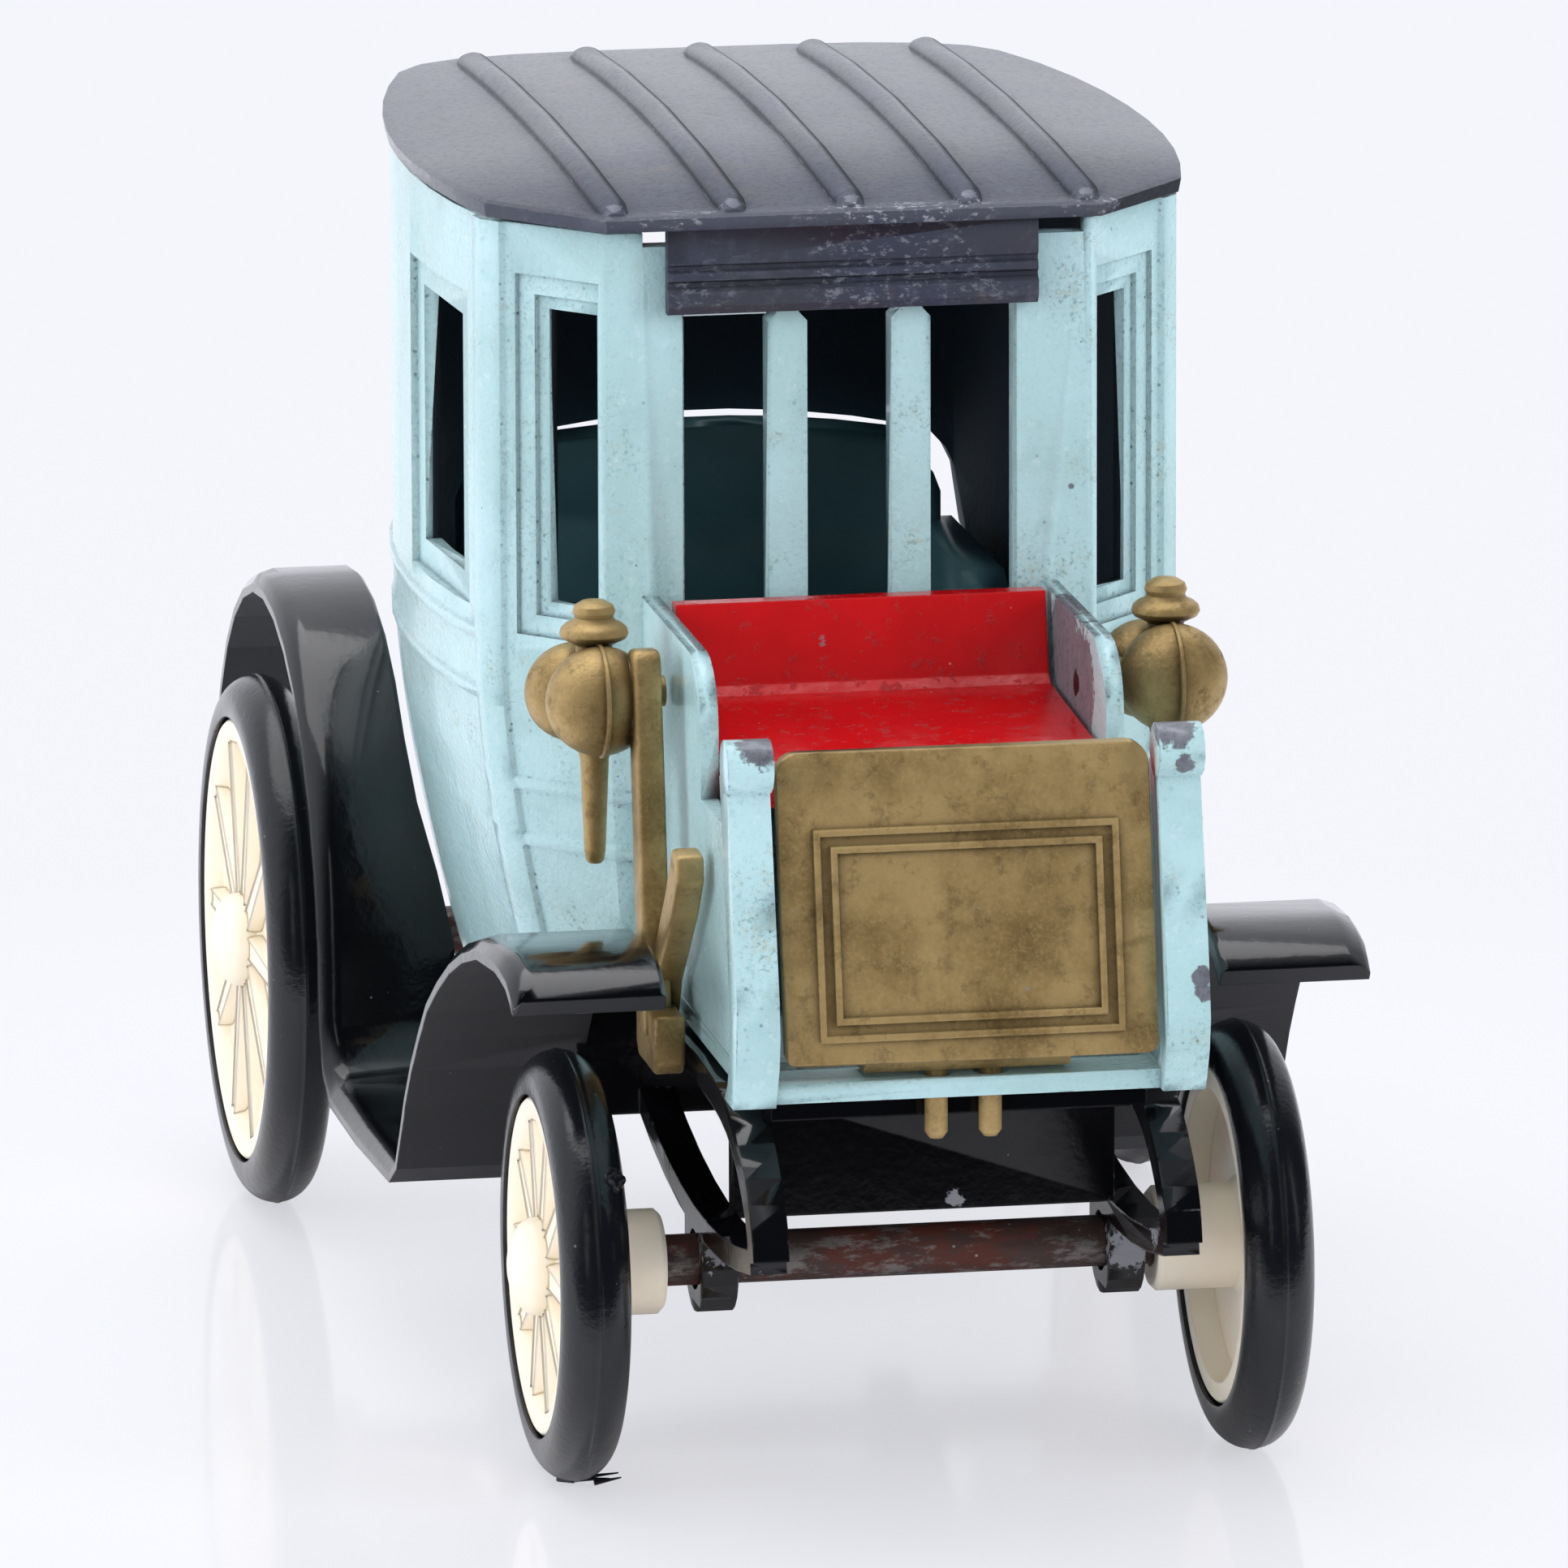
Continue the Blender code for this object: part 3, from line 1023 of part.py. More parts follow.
def chassis():
    """The black casting: decks, springs, axle hooks and both mudguards."""
    deck_top = DECK_BOTTOM + DECK_THICKNESS
    step_back = CAB_FRONT - SEAT_GAP
    step_front = step_back - STEP_THICKNESS
    pan_top = CAB_BOTTOM - SEAT_GAP
    frame = box("chassis", (-DECK_HALF, DECK_FRONT, DECK_BOTTOM), (DECK_HALF, step_back, deck_top))
    half = PAN_HALF + 0.8 * MM
    low, high = (-half, step_front, STEP_BOTTOM), (half, step_back - 0.05 * MM, deck_top - 0.1 * MM)
    fuse(frame, box("step", low, high))
    right = [
        (PAN_HALF, step_front + 0.3 * MM),
        (PAN_HALF, OUTRIGGER_Y + 10 * MM),
        (PAN_HALF - 1.6 * MM, CAB_BACK - 1.5 * MM),
    ]
    plan = right + [(-x, y) for x, y in reversed(right)]
    fuse(frame, prism("pan", plan, pan_top - PAN_THICKNESS, pan_top, "z"))
    half = DECK_HALF + 0.2 * MM
    low, high = (-half, APRON_Y, APRON_BOTTOM), (half, APRON_Y + APRON_THICKNESS, DECK_BOTTOM + 0.3 * MM)
    fuse(frame, box("apron", low, high))
    for side in (-1, 1):
        springs(frame, side)
        fuse(frame, mudguard(side))
        arm = sorted((side * (PAN_HALF - 1.0 * MM), side * (guard_sides(OUTRIGGER_Y)[0] + 0.9 * MM)))
        low = (arm[0], OUTRIGGER_Y - OUTRIGGER_HALF, GUARD_BOARD - GUARD_SHEET + 0.15 * MM)
        high = (arm[1], OUTRIGGER_Y + OUTRIGGER_HALF, pan_top - 0.1 * MM)
        fuse(frame, box("outrigger", low, high))
    for y in RIVETS:
        bore = arc((0.0, y), RIVET_RADIUS + RIVET_CLEARANCE, 0, 360, 12)[:-1]
        cut(frame, prism("rivet_hole", bore, STEP_BOTTOM, deck_top + MM, "z"))
    return frame


def rivet(name, y, under, top):
    """A peg of the body casting spread under the chassis: a shank with a domed head."""
    profile = [
        (under - RIVET_HEAD, 0.0),
        (under - RIVET_HEAD, RIVET_HEAD_RADIUS * 0.55),
        (under - RIVET_HEAD * 0.6, RIVET_HEAD_RADIUS * 0.9),
        (under - SEAT_GAP, RIVET_HEAD_RADIUS),
        (under - SEAT_GAP, RIVET_RADIUS),
        (top, RIVET_RADIUS),
        (top, 0.0),
    ]
    return turned(name, profile, (0.0, y, 0.0), 12, "z")


def wheel(name, tyre_radius, centre_x, y, side, segments):
    """A cream wheel: rim with a tyre groove, dished web with spokes, hub dome outside and boss inside."""
    flange = tyre_radius - TYRE_WALL
    groove = flange - RIM_GROOVE
    inner_rim = flange - RIM_FLANGE
    face = RIM_HALF_WIDTH
    web = face - WEB_RECESS
    bore = AXLE_RADIUS + PRESS_GAP
    bore_end = face - 0.2 * MM
    dome = []
    for angle in (0, 35, 65, 90):
        turn = math.radians(angle)
        dome.append((face + HUB_DOME_HEIGHT * math.cos(turn), HUB_DOME_RADIUS * math.sin(turn)))
    profile = dome + [
        (web, HUB_DOME_RADIUS),
        (web, inner_rim),
        (face, inner_rim + 0.15 * MM),
        (face, flange),
        (face - RIM_GROOVE, groove),
        (-face + RIM_GROOVE, groove),
        (-face, flange),
        (-face, inner_rim + 0.15 * MM),
        (web - WEB_THICKNESS, inner_rim),
        (web - WEB_THICKNESS, HUB_BOSS_RADIUS),
        (-HUB_BOSS_REACH, HUB_BOSS_RADIUS),
        (-HUB_BOSS_REACH, bore),
        (bore_end, bore),
        (bore_end, 0.0),
    ]
    profile[0] = (face + HUB_DOME_HEIGHT, 0.0)
    centre = (centre_x, y, tyre_radius)
    disc = turned(name, [(side * along, radius) for along, radius in profile], centre, segments)
    for i in range(SPOKE_COUNT):
        angle = math.tau * (i + 0.5) / SPOKE_COUNT
        fuse(disc, spoke(side, centre, angle, inner_rim + 0.15 * MM, web))
    return disc


def spoke(side, centre, angle, reach, web):
    """A ridge on the web from the hub to the rim, narrowing outwards."""
    root = HUB_DOME_RADIUS - 0.4 * MM
    low, high = web - 0.15 * MM, web + SPOKE_RISE
    rings = []
    for radius, width, top in ((root, SPOKE_WIDTH, high + 0.1 * MM), (reach, SPOKE_WIDTH * 0.75, high)):
        section = [(low, -width / 2), (low, width / 2), (top, width / 3), (top, -width / 3)]
        rings.append([(side * along, across, radius) for along, across in section])
    turn = Matrix.Rotation(angle, 3, "X")
    rings = [[Vector(centre) + turn @ Vector(point) for point in ring] for ring in rings]
    return loft("spoke", rings)


def tyre(name, tyre_radius, centre_x, y, segments):
    """A black ring tyre stretched over the rim, with a rib in the rim's groove."""
    flange = tyre_radius - TYRE_WALL
    groove = flange - RIM_GROOVE + PRESS_GAP
    foot = flange + PRESS_GAP
    neck = RIM_HALF_WIDTH - RIM_GROOVE - PRESS_GAP
    crown = tyre_radius - TYRE_SECTION
    low = math.degrees(math.asin((foot - crown) / TYRE_SECTION))
    section = []
    for i in range(5):
        angle = math.radians(low + (180 - 2 * low) * i / 4)
        section.append((TYRE_SECTION * math.cos(angle), crown + TYRE_SECTION * math.sin(angle)))
    slope = neck + RIM_GROOVE - PRESS_GAP
    profile = [(neck, groove), (slope, foot)] + section + [(-slope, foot), (-neck, groove), (neck, groove)]
    return turned(name, profile, (centre_x, y, tyre_radius), segments)


def axle(name, half_track, centre_x, y, z):
    """A steel rod whose ends stand in the blind bores of its two wheels."""
    end = half_track + RIM_HALF_WIDTH - 0.2 * MM - SEAT_GAP
    chamfer = 0.1 * MM
    profile = [
        (-end, 0.0),
        (-end, AXLE_RADIUS - chamfer),
        (-end + chamfer, AXLE_RADIUS),
        (end - chamfer, AXLE_RADIUS),
        (end, AXLE_RADIUS - chamfer),
        (end, 0.0),
    ]
    return turned(name, profile, (centre_x, y, z), AXLE_SEGMENTS)


def smooth(obj, angle=35.0):
    obj.data.shade_smooth()
    obj.data.set_sharp_from_angle(angle=math.radians(angle))


def build():
    clear_scene()
    aqua = paint("aqua_enamel", (0.40, 0.66, 0.65), 0.25)
    grey = paint("roof_grey", (0.075, 0.075, 0.085), 0.45)
    red = paint("red_enamel", (0.58, 0.008, 0.011), 0.3)
    green = paint("seat_green", (0.012, 0.035, 0.038), 0.5)
    brass = paint("brass_paint", (0.30, 0.17, 0.045), 0.42, 0.6)
    black = paint("black_enamel", (0.012, 0.012, 0.014), 0.25)
    cream = paint("cream_plastic", (0.80, 0.71, 0.50), 0.4)
    rubber = paint("tyre_rubber", (0.015, 0.015, 0.017), 0.55)
    steel = paint("axle_steel", (0.16, 0.09, 0.06), 0.5, 0.6)

    pieces = {
        body_shell(): aqua,
        roof(): grey,
        driver_seat(): red,
        passenger_seat(): green,
        dash_panel(): brass,
        lamp("lamp_left", 1): brass,
        control_levers(): brass,
        chassis(): black,
        rivet("rivet_front", RIVETS[0], DECK_BOTTOM, FLOOR_BOTTOM - SEAT_GAP): steel,
        rivet("rivet_rear", RIVETS[1], CAB_BOTTOM - SEAT_GAP - PAN_THICKNESS, CAB_BOTTOM - SEAT_GAP): steel,
        axle("front_axle", FRONT_HALF_TRACK, FRONT_AXLE_FLOAT, 0.0, FRONT_TYRE_RADIUS): steel,
        axle("rear_axle", REAR_HALF_TRACK, 0.0, WHEELBASE, REAR_TYRE_RADIUS): steel,
    }
    for side, side_name in ((-1, "right"), (1, "left")):
        front_x, rear_x = FRONT_AXLE_FLOAT + side * FRONT_HALF_TRACK, side * REAR_HALF_TRACK
        sets = (
            ("front", FRONT_TYRE_RADIUS, front_x, 0.0, FRONT_WHEEL_SEGMENTS),
            ("rear", REAR_TYRE_RADIUS, rear_x, WHEELBASE, REAR_WHEEL_SEGMENTS),
        )
        for end, radius, x, y, segments in sets:
            pieces[wheel(f"wheel_{end}_{side_name}", radius, x, y, side, segments)] = cream
            pieces[tyre(f"tyre_{end}_{side_name}", radius, x, y, segments)] = rubber

    ends = [vertex.co.y for obj in pieces for vertex in obj.data.vertices]
    shift = -(min(ends) + max(ends)) / 2
    print(f"moved {shift / MM:.3f} mm along Y")
    for obj, material in pieces.items():
        obj.data.transform(Matrix.Scale(TO_METRES, 4) @ Matrix.Translation((0.0, shift, 0.0)))
        obj.data.materials.clear()
        obj.data.materials.append(material)
        smooth(obj)


if __name__ == "__main__":
    build()
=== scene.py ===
"""The looks of a diecast model car: worn enamel, brass paint, ivory wheels and black tyres."""

import math

import bmesh
import bpy
from bpy.props import FloatProperty, FloatVectorProperty, IntProperty, PointerProperty
from bpy.types import Operator, Panel, PropertyGroup
from mathutils import Matrix, Vector


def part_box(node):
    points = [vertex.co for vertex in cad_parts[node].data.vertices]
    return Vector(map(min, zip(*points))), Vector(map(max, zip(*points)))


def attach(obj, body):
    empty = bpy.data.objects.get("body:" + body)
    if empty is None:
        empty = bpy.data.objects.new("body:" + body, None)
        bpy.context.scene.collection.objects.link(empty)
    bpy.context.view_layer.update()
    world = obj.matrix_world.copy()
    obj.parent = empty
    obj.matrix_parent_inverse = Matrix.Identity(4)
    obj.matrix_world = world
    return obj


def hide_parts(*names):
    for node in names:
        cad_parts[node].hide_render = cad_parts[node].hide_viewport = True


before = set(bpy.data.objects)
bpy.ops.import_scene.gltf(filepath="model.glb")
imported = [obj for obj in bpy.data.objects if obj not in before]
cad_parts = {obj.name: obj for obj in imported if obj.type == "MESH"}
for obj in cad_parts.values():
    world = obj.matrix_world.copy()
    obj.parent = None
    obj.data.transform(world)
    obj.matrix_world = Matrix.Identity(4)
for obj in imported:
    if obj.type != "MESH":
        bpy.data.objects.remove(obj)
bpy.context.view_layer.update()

bl_info = {
    "name": "Diecast coach finisher",
    "version": (1, 0, 0),
    "blender": (4, 5, 0),
    "location": "3D View > Sidebar > Diecast",
    "description": "Dresses a model car's solids with fine wheels, lamps, levers and worn paint",
    "category": "Object",
}

MM = 0.001
COACH = "coach"
SHARP = math.radians(38)
CORNERS = (("front", "left"), ("front", "right"), ("rear", "left"), ("rear", "right"))


def car_box(node):
    """A solid's lowest and highest corners in millimetres."""
    low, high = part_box(node)
    return low / MM, high / MM


# The places and lengths below are in millimetres in the frame of the car, unless they say otherwise.
AXLE_LOW, AXLE_HIGH = car_box("front_axle")
FRONT_Y = (AXLE_LOW.y + AXLE_HIGH.y) / 2  # where the front axle is along the car
BENCH_LOW, BENCH_HIGH = car_box("driver_seat")
BENCH_TO_CAB = 1.45  # from the back of the bench to the cab's front wall
CAB_FRONT = BENCH_HIGH.y + BENCH_TO_CAB
CAB_MIDDLE = (0.0, CAB_FRONT + 17.6, 30.0)

ROOF_LOW, ROOF_HIGH = car_box("roof")
PILLOW_FOOT = 3.7  # from the roof's lowest point up to the edge of its pillow
PILLOW_RISE = 0.9  # how far the pillow rises over that edge
PILLOW_POWER = 2.4  # how square the pillow is from side to side
PILLOW_SPARE = (0.8, 1.0)  # how far beyond the roof the pillow would run out, across and along
RIB_PITCH = 4.68
RIB_PLACES = tuple(RIB_PITCH * step for step in range(-2, 3))
RIB_FOOT = 4.1  # from the roof's lowest point up to just under the ribs' crests
RIB_HALF = 0.645  # half the width of a rib
RIB_RISE = 0.56
RIB_ROOT = 0.25  # how deep a rib's foot is sunk into the roof
RIB_ENDS = (0.62, 0.85)  # how full a rib is at its last two points
RIB_FULLNESS = 0.85  # under 1, a rib is fuller than a half round

BENCH_MIDDLE = (0.0, BENCH_LOW.y + 6.0, 28.0)
BENCH_CHIP = (-1.6, BENCH_HIGH.y - 0.6, 30.2)
SEAT_CROWN = 29.8  # the passengers' seat is lifted above this height, to narrow the rear light
SEAT_LIFT = 0.22

# The inner edge of a rear mudguard: where it stands across and along, and how far it is drawn in.
GUARD_INNER = (13.6, 14.3)
GUARD_REACH = (FRONT_Y + 30.9, FRONT_Y + 46.0)
GUARD_TOP = 20.0
GUARD_DRAWN = 1.35
GUARD_FADE = 6.0  # the height over which the drawing in grows to its full width

LAMP_X = 11.3
LAMP_Y = FRONT_Y + 7.0
LAMP_Z = 29.4
LOBE_AHEAD = 1.45  # from the lamp's stem forward to the middle of its front lobe
LAMP_CAP_FOOT = 31.5  # this and the stem's foot are heights
LAMP_STEM_FOOT = 22.7
LAMP_PEG = (8.55, 10.9)  # the ends of the mounting peg, from the middle of the car

# The control levers on the car's right: their foot and the tall one's top along the car, and where
# each reaches from side to side.
LEVER_FOOT_Y = FRONT_Y + 2.45
LEVER_TOP_Y = FRONT_Y + 4.65
TALL_LEVER_X = (-10.3, -9.2)
SHORT_LEVER_X = (-9.8, -8.7)
LEVER_FOOT_X = (-10.15, -8.95)


def patch(across, back, up, radius):
    """The point and radius of a patch of wear; back is how far it lies behind the front axle."""
    return (across, FRONT_Y + back, up), radius


# Where the casting shows through the enamel.
WORN_PATCHES = (
    patch(-7.9, -10.2, 30.7, 0.95),
    patch(8.1, -10.2, 30.8, 0.95),
    patch(8.4, -10.6, 29.6, 0.45),
    patch(7.5, 5.2, 29.3, 2.6),
    patch(7.5, 8.6, 30.0, 2.9),
    patch(14.9, 20.0, 36.6, 0.7),
    patch(8.85, -12.0, 21.5, 0.42),
    patch(8.9, -12.0, 20.95, 0.42),
    patch(-7.4, -12.0, 23.6, 0.3),
    patch(-7.3, -12.0, 22.4, 0.28),
    patch(3.9, -12.2, 17.9, 0.34),
    patch(0.6, -12.2, 17.9, 0.26),
    patch(-3.2, -12.2, 17.2, 0.24),
    patch(-8.9, 11.4, 45.3, 0.3),
    patch(8.9, 10.6, 40.4, 0.3),
)
# A dark spot of painted shade that stands for the hole in the bare arm of the bench.
HOLE_SHADE = patch(7.45, 6.3, 29.2, 0.62)
# Where the black enamel is rubbed grey.
SCUFFED_BLACK = (
    patch(7.8, -10.6, 11.4, 0.9),
    patch(8.1, -1.6, 8.6, 1.0),
    patch(-8.1, -1.6, 9.2, 0.8),
    patch(-7.9, -12.0, 10.1, 0.7),
    patch(1.2, -1.95, 10.8, 0.36),
    patch(-12.2, -8.2, 20.0, 0.3),
)

# The tyre that keeps some moulding flash. Each whisker has its place across and along from under the
# hub, its length and its turn in degrees.
FLASHED_TYRE = "tyre_front_right"
WHISKERS = ((0.7, -1.6, 1.5, 62), (1.0, -1.1, 1.7, 84), (-0.3, -1.7, 1.2, 20), (1.3, -1.9, 1.1, 100))
WHISKER_HEIGHT = 0.24

CAMERA_TARGET = (-4.27, FRONT_Y + 4.59, 26.03)
# Each lamp of the stage: its name, place and size in metres, the power that it takes, and whether
# gloss mirrors it.
STAGE_LAMPS = (
    ("overhead_softbox", (-0.12, 0.12, 0.7), (0.7, 0.6), "key", True),
    ("left_softbox", (-0.75, -0.3, 0.22), (0.5, 0.5), "left", False),
    ("right_softbox", (0.7, -0.5, 0.3), (0.4, 0.5), "right", False),
    ("left_strip", (-0.42, -0.62, 0.3), (0.05, 0.45), "strip", True),
    ("right_strip", (0.62, -0.42, 0.3), (0.05, 0.45), "strip", True),
)
FLOOR_REACH = 4.0  # from the middle of the floor to its sides, in metres
BRIGHT_SIDE = (-0.55, 1.0, 0.6)  # the way to the bright side of the room that gloss mirrors


def shade(code):
    """A colour written as RRGGBB, as the linear values that shaders use."""
    parts = [int(code[i : i + 2], 16) / 255 for i in (0, 2, 4)]
    return tuple(p / 12.92 if p <= 0.04045 else ((p + 0.055) / 1.055) ** 2.4 for p in parts)


def paint_property(name, words, code):
    """A colour that a user can change."""
    return FloatVectorProperty(
        name=name, description=words, subtype="COLOR", size=3, min=0, max=1, default=shade(code)
    )


def length_property(name, words, millimetres):
    """A length that a user can change, given in millimetres and kept in metres."""
    kept = millimetres * MM
    return FloatProperty(name=name, description=words, unit="LENGTH", subtype="DISTANCE", default=kept)


def angle_property(name, words, degrees):
    """An angle that a user can change, given in degrees and kept in radians."""
    return FloatProperty(name=name, description=words, subtype="ANGLE", default=math.radians(degrees))


def power_property(name, words, watts):
    """The power of a lamp, which a user can change."""
    return FloatProperty(name=name, description=words, unit="POWER", default=watts)


class DiecastColours(PropertyGroup):
    """The colours of the paints, plastics and bare metal."""

    enamel: paint_property("Enamel", "Pale blue enamel of the coachwork", "B1D3D8")
    zinc: paint_property("Zinc", "Bare casting metal where the paint is chipped", "8A8D96")
    roof: paint_property("Roof", "Dark grey paint of the roof", "3D3F47")
    brass: paint_property("Brass", "Dull gold paint of the dash, lamps and levers", "BCA06C")
    red: paint_property("Red", "Enamel of the driver's bench", "C80E14")
    black: paint_property("Black", "Gloss enamel of the chassis", "08090C")
    ivory: paint_property("Ivory", "Plastic of the wheels", "F6EBDA")
    rubber: paint_property("Rubber", "Black plastic of the tyres", "101217")
    steel: paint_property("Steel", "Bare wire of the axles", "8C8784")
    rust: paint_property("Rust", "Rust on the axles", "5A2C20")
    # Set lighter than the seat's dark green plastic: painted light that lifts it out of the closed cab's
    # shade.
    green: paint_property("Green", "Dark green plastic of the passengers' seat", "62959F")


class DiecastWheelSizes(PropertyGroup):
    """Shapes of the wheels and tyres that the solids leave plain."""

    spoke_count: IntProperty(
        name="Spokes", description="Relief spokes on each wheel", default=10, min=4, max=24
    )
    spoke_width: length_property("Spoke width", "Width of a spoke at the hub", 1.3)
    spoke_rise: length_property("Spoke rise", "Height of a spoke over the web", 0.5)
    tyre_wall: length_property("Tyre wall", "Tyre seen outside the rim", 1.85)
    rim_half_width: length_property("Rim half width", "From the wheel's middle to the rim's face", 1.2)
    rim_flange: length_property("Rim flange", "Width of the rim's flat face", 0.95)
    web_recess: length_property("Web recess", "From the rim's face in to the web", 0.75)
    dome_radius: length_property("Hub radius", "Radius of the domed hub", 1.9)
    dome_height: length_property("Hub height", "Rise of the domed hub over the rim's face", 1.05)
    boss_radius: length_property("Boss radius", "Radius of the inner boss round the axle", 2.05)
    flash: length_property("Flash", "Height of the moulding line round the tyre", 0.035)


class DiecastLampSizes(PropertyGroup):
    """Sizes of the brass carriage lamps."""

    ball: length_property("Lamp ball", "Radius of the lamp's front lobe", 2.15)
    rear_ball: length_property("Rear lobe", "Radius of the lamp's rear lobe", 1.95)
    cap_radius: length_property("Cap radius", "Radius of the chimney cap's brim", 1.35)
    seam: length_property("Seam", "Height of the moulding line round the lamp", 0.07)


class DiecastStage(PropertyGroup):
    """Camera and lamps."""

    azimuth: angle_property("Azimuth", "Camera's turn about the car", -10.32)
    elevation: angle_property("Elevation", "Camera's height angle", 12.25)
    roll: angle_property("Roll", "Camera's roll", -0.17)
    distance: length_property("Distance", "From the camera to its target", 700.0)
    lens: FloatProperty(name="Lens", description="Focal length", unit="CAMERA", default=414.78)
    ambient: FloatProperty(name="Ambient", description="Strength of the even light", default=0.76)
    key: power_property("Key", "Power of the big softbox", 2.3)
    left: power_property("Left", "Power of the left softbox", 3.3)
    right: power_property("Right", "Power of the right softbox", 3.2)
    strip: power_property("Strips", "Power of each of the two narrow lamps", 0.13)


class Value:
    """A socket of a node graph that can stand in a Python expression."""

    def __init__(self, graph, socket):
        self.graph = graph
        self.socket = socket

    def _math(self, operation, first, second, clamp=False):
        settings = {"operation": operation, "use_clamp": clamp}
        return self.graph.node("ShaderNodeMath", settings, {0: first, 1: second})

    def __add__(self, other):
        return self._math("ADD", self, other)

    __radd__ = __add__

    def __sub__(self, other):
        return self._math("SUBTRACT", self, other)

    def __rsub__(self, other):
        return self._math("SUBTRACT", other, self)

    def __mul__(self, other):
        return self._math("MULTIPLY", self, other)

    __rmul__ = __mul__

    def __or__(self, other):
        return self._math("MAXIMUM", self, other)

    def clamped(self):
        return self._math("ADD", self, 0.0, clamp=True)


class NodeGraph:
    """The nodes of a material or a world, built from expressions on their sockets."""

    def __init__(self, owner):
        owner.use_nodes = True
        self.tree = owner.node_tree

    def feed(self, socket, value):
        """Links a value to a socket, or sets the socket to a plain colour, vector or number."""
        if isinstance(value, Value):
            self.tree.links.new(value.socket, socket)
        elif socket.type == "RGBA":
            socket.default_value = (*value, 1)
        else:
            socket.default_value = value

    def node(self, kind, settings=None, inputs=None, output=0):
        """Adds a node with its settings and the values or links of its inputs, and gives one output."""
        made = self.tree.nodes.new(kind)
        for name, value in (settings or {}).items():
            setattr(made, name, value)
        for key, value in (inputs or {}).items():
            self.feed(made.inputs[key], value)
        return Value(self, made.outputs[output])

    def vectors(self, operation, first, second, output=0):
        """Vector Math on two vectors; output 1 is its number."""
        return self.node("ShaderNodeVectorMath", {"operation": operation}, {0: first, 1: second}, output)

    def axis(self, vector, index):
        """One coordinate of a vector: 0 across, 1 along and 2 up."""
        return self.node("ShaderNodeSeparateXYZ", {}, {"Vector": vector}, index)

    def ray(self, kind):
        """1 for rays of the kind that an output of Light Path names, and 0 for others."""
        return self.node("ShaderNodeLightPath", output=kind)

    def step(self, value, low, high):
        """0 below low, 1 above high and smooth between; low over high turns it round."""
        if low > high:
            return 1 - self.step(value, high, low)
        inputs = {"Value": value, "From Min": low, "From Max": high}
        return self.node("ShaderNodeMapRange", {"interpolation_type": "SMOOTHSTEP"}, inputs)

    def mix(self, mask, low, high):
        """One colour where the mask is 0 and another where it is 1."""
        return self.node("ShaderNodeMix", {"data_type": "RGBA"}, {0: mask, 6: low, 7: high}, 2)

    def mix_shaders(self, mask, low, high):
        """One shader where the mask is 0 and another where it is 1."""
        return self.node("ShaderNodeMixShader", {}, {0: mask, 1: low, 2: high})

    def show(self, shader, end):
        """Connects a shader to the output node named."""
        self.feed(self.tree.nodes[end].inputs["Surface"], shader)


